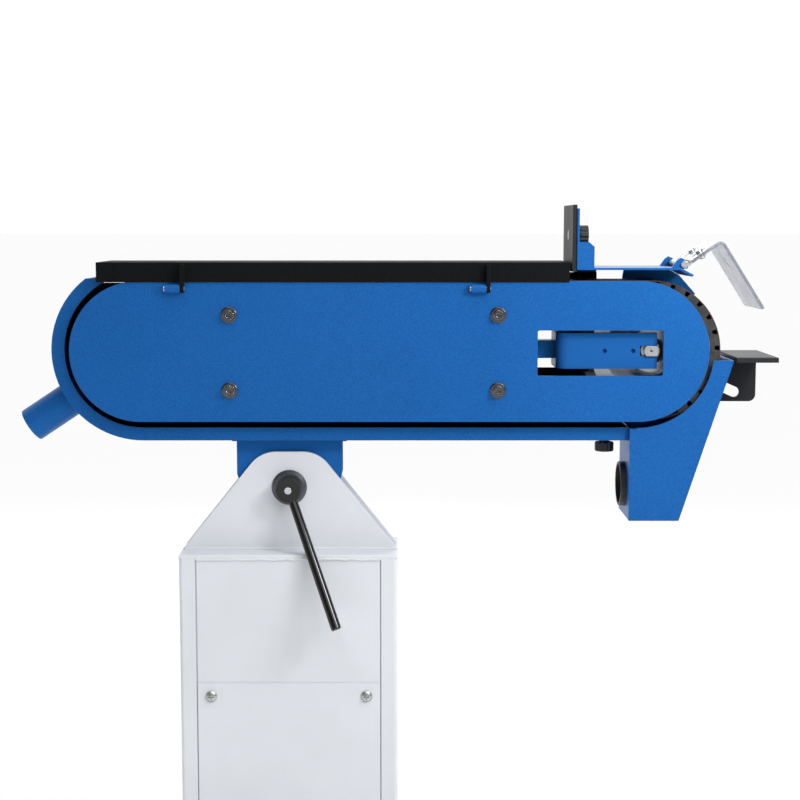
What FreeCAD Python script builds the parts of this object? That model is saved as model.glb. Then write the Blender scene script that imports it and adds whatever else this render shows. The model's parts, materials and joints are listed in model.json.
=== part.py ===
import FreeCAD, Part
import math
import os
import Sketcher

# Belt grinder, 75 x 2000 mm belt, in millimetres.
# Origin: centre of the floor-bolt pattern on the underside of the base plate.
# +X runs along the belt towards the contact wheel, +Y to the back, +Z up.

SIZES = {
    # stand
    "base_length": 400.0,
    "base_depth": 450.0,
    "base_thickness": 12.0,
    "floor_bolt_spacing_x": 340.0,
    "floor_bolt_spacing_y": 390.0,
    "floor_bolt_radius": 7.0,
    "column_width": 302.0,
    "column_front": 109.0,
    "column_depth": 128.0,
    "column_height": 647.0,
    "column_sheet": 3.0,
    "column_flange": 22.6,
    "top_plate_thickness": 5.0,
    "panel_gap": 1.5,
    "cover_top_height": 471.0,
    "cover_bottom_height": 104.0,
    "cover_screw_spacing": 216.0,
    # tilt pivot
    "pivot_height": 740.0,
    "ear_thickness": 6.0,
    "ear_gap": 38.0,
    "pivot_bolt_radius": 8.0,
    "running_gap": 0.06,
    "bracket_width": 147.0,
    "bracket_flange_width": 160.0,
    "lever_turn": 20.8,
    "lever_lean": 21.0,
    "lever_length": 207.0,
    "lever_radius": 7.0,
    # belt and wheels
    "belt_middle_y": -45.0,
    "belt_width": 75.0,
    "belt_thickness": 1.2,
    "belt_gap": 0.3,
    "wheel_above_pivot": 192.5,
    "drive_wheel_x": -200.0,
    "wheel_spacing": 699.0,
    "wheel_radius": 94.7,
    "tread_thickness": 13.0,
    "tread_grooves": 26.0,
    "axle_radius": 10.0,
    "shaft_radius": 14.0,
    # head
    "cover_radius": 96.2,
    "cover_spacing": 680.0,
    "cover_front": 60.0,
    "cover_sheet": 3.0,
    "frame_front": 46.0,
    "frame_sheet": 4.0,
    "shell_radius": 124.5,
    "shell_sheet": 3.0,
    "shell_front": 40.0,
    "rim_inner_radius": 106.5,
    "shell_length": 670.5,
    "pipe_radius": 24.0,
    "pipe_wall": 2.0,
    "pipe_angle": 33.5,
    "pipe_reach": 195.0,
    "chute_depth": 235.5,
    "chute_arc_radius": 104.4,
    "port_radius": 27.0,
    # upper fittings
    "guard_length": 641.0,
    "guard_top": 121.4,
    "guard_bottom": 94.5,
    "hinge_height": 86.0,
    "hinge_pin_radius": 3.0,
    "plate_top": 114.0,
    "stop_bottom": 108.6,
    "stop_top": 199.0,
    "shield_sheet": 4.0,
    # work table
    "table_length": 56.7,
    "table_top_thickness": 7.0,
    "table_depth": 132.0,
    "table_sheet": 5.0,
    "slot_angle": 24.0,
    # motor
    "motor_radius": 80.0,
    "motor_length": 230.0,
    "motor_flange_radius": 94.0,
    "motor_bolt_circle": 165.0,
}

doc = FreeCAD.newDocument("belt_grinder")
sheet = doc.addObject("Spreadsheet::Sheet", "Sizes")


class Size(float):
    """A number that carries the sheet expression it was worked out from."""

    def __new__(cls, value, text=None):
        size = float.__new__(cls, value)
        size.text = text or "({:.6g})".format(float(value))
        return size

    def __add__(self, other):
        return Size(float(self) + other, "({} + {})".format(self.text, text_of(other)))

    def __radd__(self, other):
        return Size(other + float(self), "({} + {})".format(text_of(other), self.text))

    def __sub__(self, other):
        return Size(float(self) - other, "({} - {})".format(self.text, text_of(other)))

    def __rsub__(self, other):
        return Size(other - float(self), "({} - {})".format(text_of(other), self.text))

    def __mul__(self, other):
        return Size(float(self) * other, "({} * {})".format(self.text, text_of(other)))

    def __rmul__(self, other):
        return Size(other * float(self), "({} * {})".format(text_of(other), self.text))

    def __truediv__(self, other):
        return Size(float(self) / other, "({} / {})".format(self.text, text_of(other)))

    def __neg__(self):
        return Size(-float(self), "(-1 * {})".format(self.text))


def text_of(value):
    return value.text if isinstance(value, Size) else Size(value).text


def cosine(angle):
    return Size(math.cos(math.radians(angle)), "cos({} * 1 deg)".format(text_of(angle)))


def sine(angle):
    return Size(math.sin(math.radians(angle)), "sin({} * 1 deg)".format(text_of(angle)))


class Sheet:
    """The driving sizes, each one a cell of the sheet with its name as alias."""

    def __init__(self, sizes):
        for row, (name, value) in enumerate(sizes.items(), start=1):
            sheet.set("A{}".format(row), name)
            sheet.set("B{}".format(row), str(value))
            sheet.setAlias("B{}".format(row), name)
            setattr(self, name, Size(value, "Sizes." + name))


S = Sheet(SIZES)
doc.recompute()

# Places worked out from the driving sizes.
WHEEL_Z = S.pivot_height + S.wheel_above_pivot
DRIVE_X = S.drive_wheel_x
CONTACT_X = S.drive_wheel_x + S.wheel_spacing
COVER_RIGHT_X = S.drive_wheel_x + S.cover_spacing
HEAD_X = S.drive_wheel_x + S.cover_spacing / 2
BELT_Y = S.belt_middle_y
COVER_Y = BELT_Y - S.cover_front
FRAME_Y = BELT_Y + S.frame_front
FRAME_BACK_Y = FRAME_Y + S.frame_sheet
COLUMN_FRONT_Y = -S.column_front
COLUMN_BACK_Y = COLUMN_FRONT_Y + S.column_depth
COLUMN_TOP_Z = S.column_height + S.top_plate_thickness
BELT_INNER = S.wheel_radius + S.belt_gap
BELT_OUTER = BELT_INNER + S.belt_thickness

AXIS_TURN = {
    "X": FreeCAD.Rotation(FreeCAD.Vector(0, 1, 0), 90),
    "-X": FreeCAD.Rotation(FreeCAD.Vector(0, 1, 0), -90),
    "Y": FreeCAD.Rotation(FreeCAD.Vector(1, 0, 0), -90),
    "-Y": FreeCAD.Rotation(FreeCAD.Vector(1, 0, 0), 90),
    "Z": FreeCAD.Rotation(),
    "-Z": FreeCAD.Rotation(FreeCAD.Vector(1, 0, 0), 180),
}

NODES = []


# ---------------------------------------------------------------- helpers

def bind(thing, path, value):
    thing.setExpression(path, text_of(value))


def place(thing, x, y, z, turn=None):
    thing.Placement = FreeCAD.Placement(FreeCAD.Vector(x, y, z), turn or FreeCAD.Rotation())
    bind(thing, "Placement.Base.x", x)
    bind(thing, "Placement.Base.y", y)
    bind(thing, "Placement.Base.z", z)
    return thing


def pose(thing, placement):
    """Stand a piece at an angle that no axis gives."""
    for letter in "xyz":
        thing.setExpression("Placement.Base." + letter, None)
    thing.Placement = placement
    return thing


def node(thing, name):
    """Name a finished sub-part and keep it for export."""
    thing.Label = name
    NODES.append(thing)
    return thing


def box(name, low, high):
    block = doc.addObject("Part::Box", name)
    for path, start, end in zip(("Length", "Width", "Height"), low, high):
        bind(block, path, end - start)
    return place(block, *low)


def rod(name, radius, length, at, axis="Z"):
    cylinder = doc.addObject("Part::Cylinder", name)
    bind(cylinder, "Radius", radius)
    bind(cylinder, "Height", length)
    return place(cylinder, *at, AXIS_TURN[axis])


def cone(name, start_radius, end_radius, length, at, axis="Z"):
    frustum = doc.addObject("Part::Cone", name)
    bind(frustum, "Radius1", start_radius)
    bind(frustum, "Radius2", end_radius)
    bind(frustum, "Height", length)
    return place(frustum, *at, AXIS_TURN[axis])


def hexagon(name, across_flats, length, at, axis="Z"):
    prism = doc.addObject("Part::Prism", name)
    prism.Polygon = 6
    bind(prism, "Circumradius", across_flats / math.sqrt(3))
    bind(prism, "Height", length)
    return place(prism, *at, AXIS_TURN[axis])


def fuse(name, pieces):
    union = doc.addObject("Part::MultiFuse", name)
    union.Shapes = pieces
    union.Refine = True
    return union


def cut(name, base, tools):
    result = doc.addObject("Part::Cut", name)
    result.Base = base
    result.Tool = tools[0] if len(tools) == 1 else fuse(name + "_cutters", tools)
    result.Refine = True
    return result


def group(name, pieces):
    """Several separate solids kept as one node, such as a set of screws."""
    compound = doc.addObject("Part::Compound", name)
    compound.Links = pieces
    return compound


def rounded(name, base, radius, wanted):
    """Fillet the edges of base that pass the test."""
    doc.recompute()
    fillet = doc.addObject("Part::Fillet", name)
    fillet.Base = base
    edges = enumerate(base.Shape.Edges, start=1)
    fillet.Edges = [(number, radius, radius) for number, edge in edges if wanted(edge)]
    base.Visibility = False
    return fillet


def tube(name, radius, wall, length, at, axis="Z"):
    outer = rod(name + "_outer", radius, length, at, axis)
    inner = rod(name + "_inner", radius - wall, length, at, axis)
    return cut(name, outer, [inner])


def slot(name, half_width, start, end, depth):
    """An obround cutter along +Y, its ends centred on two (x, y, z) points of equal z or x."""
    length = math.hypot(end[0] - start[0], end[2] - start[2])
    turn = FreeCAD.Rotation(FreeCAD.Vector(0, -1, 0),
                            math.degrees(math.atan2(end[2] - start[2], end[0] - start[0])))
    bar = doc.addObject("Part::Box", name + "_bar")
    bar.Length = length
    bar.Width = depth
    bar.Height = 2 * half_width
    drop = turn.multVec(FreeCAD.Vector(0, 0, -half_width))
    bar.Placement = FreeCAD.Placement(FreeCAD.Vector(*start) + drop, turn)
    ends = [rod("{}_end_{}".format(name, number), half_width, depth, point, "Y")
            for number, point in enumerate((start, end))]
    return fuse(name, [bar] + ends)


PLANE_ROLE = {"XY": "XY_Plane", "XZ": "XZ_Plane", "YZ": "YZ_Plane"}


def origin_plane(body, plane):
    for feature in body.Origin.OriginFeatures:
        if feature.Role == PLANE_ROLE[plane]:
            return feature
    raise ValueError("no plane " + plane)


def outline_sketch(body, name, plane, points):
    """A closed polygon whose every corner is tied to the sheet."""
    sketch = body.newObject("Sketcher::SketchObject", name)
    sketch.AttachmentSupport = [(origin_plane(body, plane), "")]
    sketch.MapMode = "FlatFace"
    count = len(points)
    corners = [FreeCAD.Vector(u, v, 0) for u, v in points]
    for index in range(count):
        sketch.addGeometry(Part.LineSegment(corners[index], corners[(index + 1) % count]), False)
    for index in range(count):
        following = (index + 1) % count
        sketch.addConstraint(Sketcher.Constraint("Coincident", index, 2, following, 1))
    for index, (u, v) in enumerate(points):
        for kind, value in (("DistanceX", u), ("DistanceY", v)):
            number = sketch.addConstraint(Sketcher.Constraint(kind, -1, 1, index, 1, float(value)))
            sketch.setExpression("Constraints[{}]".format(number), text_of(value))
    return sketch


def circle_sketch(body, name, plane, circles):
    """Circles given as (u, v, radius), each tied to the sheet."""
    sketch = body.newObject("Sketcher::SketchObject", name)
    sketch.AttachmentSupport = [(origin_plane(body, plane), "")]
    sketch.MapMode = "FlatFace"
    normal = FreeCAD.Vector(0, 0, 1)
    for index, (u, v, radius) in enumerate(circles):
        sketch.addGeometry(Part.Circle(FreeCAD.Vector(u, v, 0), normal, radius), False)
        for kind, value in (("DistanceX", u), ("DistanceY", v)):
            number = sketch.addConstraint(Sketcher.Constraint(kind, -1, 1, index, 3, float(value)))
            sketch.setExpression("Constraints[{}]".format(number), text_of(value))
        number = sketch.addConstraint(Sketcher.Constraint("Radius", index, float(radius)))
        sketch.setExpression("Constraints[{}]".format(number), text_of(radius))
    return sketch


def plate(name, plane, points, thickness, at=(0, 0, 0), holes=(), corner=0, corners=None):
    """A flat piece: an outline padded by its thickness, round holes and rounded corners.

    A plate on XZ grows towards -Y, one on YZ towards +X and one on XY towards +Z.
    """
    body = doc.addObject("PartDesign::Body", name)
    pad = body.newObject("PartDesign::Pad", name + "_pad")
    pad.Profile = outline_sketch(body, name + "_outline", plane, points)
    bind(pad, "Length", thickness)
    body.Tip = pad
    if corner:
        doc.recompute()
        chosen = ["Edge{}".format(number) for number, edge in enumerate(pad.Shape.Edges, start=1)
                  if is_corner(edge, plane, corners)]
        fillet = body.newObject("PartDesign::Fillet", name + "_corners")
        fillet.Base = (pad, chosen)
        fillet.Radius = corner
        body.Tip = fillet
    if holes:
        doc.recompute()
        solid_volume = body.Tip.Shape.Volume
        pocket = body.newObject("PartDesign::Pocket", name + "_holes")
        pocket.Profile = circle_sketch(body, name + "_circles", plane, holes)
        pocket.Type = "ThroughAll"
        pocket.Reversed = True
        body.Tip = pocket
        doc.recompute()
        if pocket.Shape.Volume >= solid_volume:
            raise RuntimeError(name + ": the holes cut nothing")
    return place(body, *at)


def is_corner(edge, plane, corners):
    """Whether an edge runs through the plate's thickness, at one of the chosen corners."""
    across = {"XY": "z", "XZ": "y", "YZ": "x"}[plane]
    start, end = edge.Vertexes[0].Point, edge.Vertexes[-1].Point
    kept = [letter for letter in "xyz" if letter != across]
    if any(abs(getattr(start, letter) - getattr(end, letter)) > 1e-6 for letter in kept):
        return False
    if corners is None:
        return True
    here = [getattr(start, letter) for letter in kept]
    return any(abs(here[0] - u) < 1e-3 and abs(here[1] - v) < 1e-3 for u, v in corners)


def turned(name, points, at, axis="Z"):
    """A piece turned on a lathe: (radius, height) points spun about the axis."""
    body = doc.addObject("PartDesign::Body", name)
    spin = body.newObject("PartDesign::Revolution", name + "_spin")
    sketch = outline_sketch(body, name + "_profile", "XZ", points)
    spin.Profile = sketch
    spin.ReferenceAxis = (sketch, ["V_Axis"])
    spin.Angle = 360
    body.Tip = spin
    return place(body, *at, AXIS_TURN[axis])


def ring_pattern(body, name, feature, axis_sketch, count):
    pattern = body.newObject("PartDesign::PolarPattern", name)
    pattern.Originals = [feature]
    pattern.Axis = (axis_sketch, ["N_Axis"])
    pattern.Angle = 360
    bind(pattern, "Occurrences", count)
    body.Tip = pattern
    return pattern


def hex_bolt(name, radius, head_across, head_height, length, at, axis):
    """A hexagon bolt with its head's underside at the given point, the shank along the axis."""
    back = {"X": "-X", "-X": "X", "Y": "-Y", "-Y": "Y", "Z": "-Z", "-Z": "Z"}[axis]
    head = hexagon(name + "_head", head_across, head_height, at, back)
    shank = rod(name + "_shank", radius, length, at, axis)
    return fuse(name, [head, shank])


def socket_screw(name, radius, head_radius, head_height, socket_across, length, at, axis):
    """A socket-head screw with its head's underside at the given point."""
    back = {"Y": "-Y", "-Y": "Y"}[axis]
    sign = -1 if axis == "Y" else 1
    head = rod(name + "_head", head_radius, head_height, at, back)
    shank = rod(name + "_shank", radius, length, at, axis)
    socket_depth = head_height * 0.6
    bottom = (at[0], at[1] + sign * (head_height - socket_depth), at[2])
    socket = hexagon(name + "_socket", socket_across, socket_depth, bottom, back)
    return cut(name, fuse(name + "_blank", [head, shank]), [socket])


def head_point(across, up):
    """A place on the head as (x, z), counted from its middle and the wheels' height."""
    return HEAD_X + across, WHEEL_Z + up


def head_points(pairs):
    return [head_point(across, up) for across, up in pairs]


# ---------------------------------------------------------------- stand

def build_base_plate():
    half_x = S.base_length / 2
    half_y = S.base_depth / 2
    outline = [(-half_x, -half_y), (half_x, -half_y), (half_x, half_y), (-half_x, half_y)]
    holes = [(side * S.floor_bolt_spacing_x / 2, end * S.floor_bolt_spacing_y / 2, S.floor_bolt_radius)
             for side in (-1, 1) for end in (-1, 1)]
    node(plate("base_plate", "XY", outline, S.base_thickness, holes=holes, corner=12), "base_plate")


def build_column():
    half = S.column_width / 2
    inner = half - S.column_sheet
    opening = half - S.column_flange
    low_z = S.base_thickness
    front = COLUMN_FRONT_Y
    bend_radius = 5
    outer = box("column_outer", (-half, front, low_z), (half, COLUMN_BACK_Y, S.column_height))
    outer = rounded("column_bends", outer, bend_radius,
                    lambda edge: abs(edge.Vertexes[0].Point.z - edge.Vertexes[-1].Point.z) > 100)
    hollow = box("column_hollow", (-inner, front + S.column_sheet, low_z - 1),
                 (inner, COLUMN_BACK_Y - S.column_sheet, S.column_height + 1))
    mouth = box("column_mouth", (-opening, front - 1, low_z - 1),
                (opening, front + S.column_sheet + 1, S.column_height + 1))
    walls = cut("column_walls", outer, [hollow, mouth])
    node(fuse("column_shell", [walls, column_panel()]), "column_shell")


def column_top():
    half = S.column_width / 2
    edge_radius = 2.5
    top = box("top_plate_blank", (-half, COLUMN_FRONT_Y, S.column_height),
              (half, COLUMN_BACK_Y, COLUMN_TOP_Z))
    return rounded("top_plate", top, edge_radius,
                   lambda edge: min(end.Point.z for end in edge.Vertexes) > S.column_height + 1)


def column_panel():
    """The front sheet, welded behind the flanges with a narrow seam round its raised face."""
    opening = S.column_width / 2 - S.column_flange
    low_z = S.base_thickness
    face_y = COLUMN_FRONT_Y + 1
    seam_y = COLUMN_FRONT_Y + S.column_sheet
    reach = opening - S.panel_gap
    face = box("panel_face", (-reach, face_y, low_z), (reach, seam_y, S.column_height))
    backing = box("panel_backing", (-opening - 12, seam_y, low_z),
                  (opening + 12, seam_y + 1.5, S.column_height))
    hatch_half = 90.0
    hatch_low = S.cover_bottom_height + 30
    hatch_top = S.cover_top_height - 40
    hatch = box("panel_hatch", (-hatch_half, face_y - 1, hatch_low), (hatch_half, seam_y + 3, hatch_top))
    return cut("front_panel", fuse("panel_blank", [face, backing]), [hatch])


def build_service_cover():
    reach = S.column_width / 2 - S.column_flange - S.panel_gap
    face_y = COLUMN_FRONT_Y + 1
    cover = box("service_cover", (-reach, face_y - 1.5, S.cover_bottom_height),
                (reach, face_y, S.cover_top_height))
    node(cover, "service_cover")

    screws = []
    for row, height in enumerate((S.cover_bottom_height + 19, S.cover_top_height - 19)):
        for side in (-1, 1):
            name = "cover_screw_{}_{}".format(row, (side + 1) // 2)
            at = (side * S.cover_screw_spacing / 2, face_y - 1.5, height)
            dome = turned(name + "_head", [(0, 0), (8, 0), (8, 1.6), (5.6, 4.2), (2.6, 5.2), (0, 5.4)], at,
                          "-Y")
            cross = box(name + "_cross", (at[0] - 3.6, face_y - 7.5, height - 0.7),
                        (at[0] + 3.6, face_y - 4.4, height + 0.7))
            cross_up = box(name + "_cross_up", (at[0] - 0.7, face_y - 7.5, height - 3.6),
                           (at[0] + 0.7, face_y - 4.4, height + 3.6))
            screws.append(cut(name, dome, [cross, cross_up]))
    node(group("service_cover_screws", screws), "service_cover_screws")


def build_column_head():
    """The column's top plate with the two pivot ears welded on it."""
    half = S.column_width / 2 - 0.5
    drop = COLUMN_TOP_Z - S.pivot_height
    crown_half = 40.0
    crown_top = 50.0
    crown_radius = 45
    outline = [(-half, drop), (half, drop), (crown_half, crown_top), (-crown_half, crown_top)]
    outline = [(u, v + S.pivot_height) for u, v in outline]
    top_corners = outline[2:]
    hole = [(0, S.pivot_height, S.pivot_bolt_radius + 0.1)]
    outer = S.ear_gap / 2 + S.ear_thickness
    ears = [plate(name, "XZ", outline, S.ear_thickness, (0, back_y, 0), hole, crown_radius, top_corners)
            for name, back_y in (("front_ear", BELT_Y - S.ear_gap / 2), ("rear_ear", BELT_Y + outer))]
    node(fuse("column_head", [column_top()] + ears), "column_head")


def build_pivot_bolt():
    outer = S.ear_gap / 2 + S.ear_thickness
    rear_y = BELT_Y + outer
    length = 2 * outer + 20
    node(hex_bolt("pivot_bolt", S.pivot_bolt_radius, 24, 10, length, (0, rear_y, S.pivot_height), "-Y"),
         "pivot_bolt")
    bore = S.pivot_bolt_radius + 0.3
    at = (0, BELT_Y - outer, S.pivot_height)
    washer = turned("clamp_washer", [(bore, 0), (24.5, 0), (24.5, 1.8), (20.5, 6), (bore, 6)], at, "-Y")
    node(washer, "clamp_washer")


def build_clamp_lever():
    """Clamp hub screwed on the pivot bolt, with a round arm that leans out of its side."""
    hub_start = BELT_Y - S.ear_gap / 2 - S.ear_thickness - 6.3
    bolt_end = BELT_Y - S.ear_gap / 2 - S.ear_thickness - 20
    hub_radius = 17.0
    hub_length = 22.0
    bore = S.pivot_bolt_radius + S.running_gap
    bore_depth = hub_start - bolt_end + 1
    hub = turned("lever_hub", [(bore, 0), (hub_radius, 0), (hub_radius, hub_length), (0, hub_length),
                               (0, bore_depth), (bore, bore_depth)],
                 (0, hub_start, S.pivot_height), "-Y")

    arm_depth = 8.0
    root = 13.0
    root_radius = S.lever_radius - 0.6
    taper_end = 150.0
    chamfer = 1.5
    arm = turned("lever_arm", [(0, root), (root_radius, root), (S.lever_radius, taper_end),
                               (S.lever_radius, S.lever_length - chamfer),
                               (S.lever_radius - chamfer, S.lever_length), (0, S.lever_length)], (0, 0, 0))
    lean = FreeCAD.Rotation(FreeCAD.Vector(1, 0, 0), -S.lever_lean)
    swing = FreeCAD.Rotation(FreeCAD.Vector(0, 1, 0), -S.lever_turn)
    down = FreeCAD.Rotation(FreeCAD.Vector(1, 0, 0), 180)
    arm_base = FreeCAD.Vector(0, hub_start - arm_depth, S.pivot_height)
    pose(arm, FreeCAD.Placement(arm_base, swing.multiply(lean).multiply(down)))

    screw_at = (0, hub_start - hub_length, S.pivot_height)
    screw_bore = rod("lever_screw_bore", 3, 10, (0, hub_start - hub_length - 1, S.pivot_height), "Y")
    node(cut("clamp_lever", fuse("lever_blank", [hub, arm]), [screw_bore]), "clamp_lever")
    node(socket_screw("lever_screw", 2.9, 4.8, 2.5, 4, 7, screw_at, "Y"), "lever_screw")


# ---------------------------------------------------------------- head frame

def build_pivot_bracket():
    half = S.bracket_width / 2
    top = WHEEL_Z - S.shell_radius
    plate_top = top - 4
    gap = S.ear_gap / 2 - 0.2
    outline = [(-half, plate_top), (-half, S.pivot_height + 14), (-38.0, S.pivot_height - 26),
               (38.0, S.pivot_height - 26), (half, S.pivot_height + 14), (half, plate_top)]
    hole = [(0, S.pivot_height, 15.0)]
    cheeks = [plate("bracket_cheek_" + side, "XZ", outline, 5, (0, back_y, 0), hole, 16, outline[1:5])
              for side, back_y in (("front", BELT_Y - gap + 5), ("rear", BELT_Y + gap))]
    flange = box("bracket_flange", (-S.bracket_flange_width / 2, BELT_Y - gap, plate_top),
                 (S.bracket_flange_width / 2, BELT_Y + gap, top))
    boss = tube("bracket_boss", 16, 16 - S.pivot_bolt_radius - S.running_gap, 2 * gap,
                (0, BELT_Y - gap, S.pivot_height), "Y")
    node(fuse("pivot_bracket", cheeks + [flange, boss]), "pivot_bracket")


def motor_bolt_places():
    reach = S.motor_bolt_circle / 2
    return [(DRIVE_X + reach * cosine(angle), WHEEL_Z + reach * sine(angle))
            for angle in (45, 135, 225, 315)]


POST_PLACES = [(-218.0, 50.0), (-218.0, -53.0), (148.0, 50.0), (148.0, -53.0)]
TABLE_BOLT_PLACES = [(462.0, -52.3), (434.0, -36.0)]
SIDE_PLATE_BOLTS = [(300.0, 66.0), (395.0, 66.0)]
CHUTE_KNOB_X = HEAD_X + 302


def build_frame_plate():
    y = FRAME_Y
    depth = S.frame_sheet
    left = DRIVE_X
    pieces = [
        rod("frame_drive_end", S.shell_radius - S.shell_sheet, depth, (DRIVE_X, y, WHEEL_Z), "Y"),
        box("frame_span", (left, y, WHEEL_Z - 80), (CONTACT_X, y + depth, WHEEL_Z + 80)),
        box("frame_belly", (left, y, WHEEL_Z - S.shell_radius + S.shell_sheet),
            (left + S.shell_length, y + depth, WHEEL_Z)),
        rod("frame_contact_end", 80, depth, (CONTACT_X, y, WHEEL_Z), "Y"),
        box("frame_table_ear", (CONTACT_X, y, WHEEL_Z - 76), (HEAD_X + 472, y + depth, WHEEL_Z - 18)),
        box("frame_stop_tab", (HEAD_X + 250, y, WHEEL_Z + 70), (HEAD_X + 294, y + depth, WHEEL_Z + 105)),
    ]
    cutters = [
        box("frame_top_trim", (DRIVE_X - 200, y - 1, WHEEL_Z + 90),
            (DRIVE_X + 200, y + depth + 1, WHEEL_Z + 200)),
        box("frame_opening", (HEAD_X + 196, y - 1, WHEEL_Z - 31),
            (HEAD_X + 238, y + depth + 1, WHEEL_Z + 31)),
        rod("frame_motor_bore", 65.2, depth + 2, (DRIVE_X, y - 1, WHEEL_Z), "Y"),
    ]
    for number, (x, z) in enumerate(motor_bolt_places()):
        cutters.append(rod("frame_bolt_hole_{}".format(number), 5.2, depth + 2, (x, y - 1, z), "Y"))
    for number, (across, up) in enumerate(TABLE_BOLT_PLACES):
        x, z = head_point(across, up)
        cutters.append(rod("frame_table_hole_{}".format(number), 4.05, depth + 2, (x, y - 1, z), "Y"))
    for number, (across, up) in enumerate(SIDE_PLATE_BOLTS):
        x, z = head_point(across, up)
        cutters.append(rod("frame_side_hole_{}".format(number), 3.05, depth + 2, (x, y - 1, z), "Y"))
    node(cut("frame_plate", fuse("frame_blank", pieces), cutters), "frame_plate")


def build_belt_shell():
    front = BELT_Y - S.shell_front
    depth = FRAME_Y + S.frame_sheet - front
    right = DRIVE_X + S.shell_length
    bottom = WHEEL_Z - S.shell_radius
    inner_radius = S.shell_radius - S.shell_sheet
    outer = fuse("shell_outer", [
        rod("shell_outer_round", S.shell_radius, depth, (DRIVE_X, front, WHEEL_Z), "Y"),
        box("shell_outer_run", (DRIVE_X, front, bottom), (right, front + depth, WHEEL_Z)),
    ])
    inner = fuse("shell_inner", [
        rod("shell_inner_round", inner_radius, depth + 2, (DRIVE_X, front + S.shell_sheet, WHEEL_Z), "Y"),
        box("shell_inner_run", (DRIVE_X, front + S.shell_sheet, WHEEL_Z - inner_radius),
            (right + 5, front + depth + 2, WHEEL_Z)),
    ])
    mouth = fuse("shell_mouth", [
        rod("shell_mouth_round", S.rim_inner_radius, 10, (DRIVE_X, front - 1, WHEEL_Z), "Y"),
        box("shell_mouth_run", (DRIVE_X, front - 1, WHEEL_Z - S.rim_inner_radius),
            (right + 5, front + 9, WHEEL_Z + 1)),
    ])
    above = box("shell_above", (DRIVE_X, front - 1, WHEEL_Z - S.rim_inner_radius + 1),
                (right + 5, front + depth + 5, WHEEL_Z + 200))
    guard_end = DRIVE_X - 57.8
    trim_back = front + depth + 5
    left_trim = fuse("shell_left_trim", [
        box("trim_under_guard", (guard_end, front - 1, WHEEL_Z + S.guard_bottom - 0.3),
            (DRIVE_X + 1, trim_back, WHEEL_Z + 200)),
        box("trim_beside_guard", (DRIVE_X - 200, front - 1, WHEEL_Z + 98.8),
            (guard_end + 1, trim_back, WHEEL_Z + 200)),
    ])
    pipe_hole = rod("shell_pipe_hole", S.pipe_radius - S.pipe_wall, 60, (0, 0, 0))
    pose(pipe_hole, pipe_placement(100))
    walls = cut("shell_walls", outer, [inner, mouth, above, left_trim, pipe_hole])
    knob_at = (CHUTE_KNOB_X, BELT_Y, bottom)
    weld_nut = hexagon("shell_weld_nut", 13, S.shell_sheet + 6.5, knob_at)
    thread = rod("shell_thread", 4 + S.running_gap, 20, (CHUTE_KNOB_X, BELT_Y, bottom - 5))
    node(cut("belt_shell", fuse("shell_with_nut", [walls, weld_nut]), [thread]), "belt_shell")


def pipe_placement(start):
    """A place on the extraction pipe's axis, the local Z pointing out of the pipe."""
    angle = math.radians(180 + S.pipe_angle)
    direction = FreeCAD.Vector(math.cos(angle), 0, math.sin(angle))
    base = FreeCAD.Vector(DRIVE_X, BELT_Y, WHEEL_Z) + direction * start
    return FreeCAD.Placement(base, FreeCAD.Rotation(FreeCAD.Vector(0, 0, 1), direction))


def build_extraction_pipe():
    """Open pipe stub with a weld fillet round its foot, cut to sit on the shell's round end."""
    start = 110.0
    length = S.pipe_reach - start
    weld_leg = 3.0
    weld_toe = S.shell_radius + weld_leg - start
    outer = turned("pipe_outer", [(0, 0), (S.pipe_radius + 2 * weld_leg, 0),
                                  (S.pipe_radius + 2 * weld_leg, weld_toe - 2 * weld_leg),
                                  (S.pipe_radius, weld_toe), (S.pipe_radius, length), (0, length)], (0, 0, 0))
    inner = rod("pipe_inner", S.pipe_radius - S.pipe_wall, length, (0, 0, 0))
    pose(outer, pipe_placement(start))
    pose(inner, pipe_placement(start))
    shell = rod("pipe_saddle", S.shell_radius, 90, (DRIVE_X, BELT_Y - 45, WHEEL_Z), "Y")
    node(cut("extraction_pipe", outer, [inner, shell]), "extraction_pipe")


def build_front_cover():
    y = COVER_Y
    depth = S.cover_sheet
    blank = fuse("cover_blank", [
        rod("cover_left", S.cover_radius, depth, (DRIVE_X, y, WHEEL_Z), "Y"),
        rod("cover_right", S.cover_radius, depth, (COVER_RIGHT_X, y, WHEEL_Z), "Y"),
        box("cover_middle", (DRIVE_X, y, WHEEL_Z - S.cover_radius),
            (COVER_RIGHT_X, y + depth, WHEEL_Z + S.cover_radius)),
    ])
    window = box("cover_window", (HEAD_X + 202, y - 1, WHEEL_Z - 33),
                 (HEAD_X + 373, y + depth + 1, WHEEL_Z + 29))
    window = rounded("cover_window_corners", window, 2.5,
                     lambda edge: abs(edge.Vertexes[0].Point.y - edge.Vertexes[-1].Point.y) > 1)
    cutters = [window]
    for number, (across, up) in enumerate(POST_PLACES):
        x, z = head_point(across, up)
        cutters.append(rod("cover_hole_{}".format(number), 4.2, depth + 2, (x, y - 1, z), "Y"))
    node(fuse("front_cover", [cut("cover_drilled", blank, cutters)] + hinge_barrels()), "front_cover")


WASHER_PROFILE = [(4.1, 0), (11.3, 0), (11.3, 0.6), (10.9, 1.4), (10.1, 1.9), (9.3, 2), (4.1, 2)]


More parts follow.
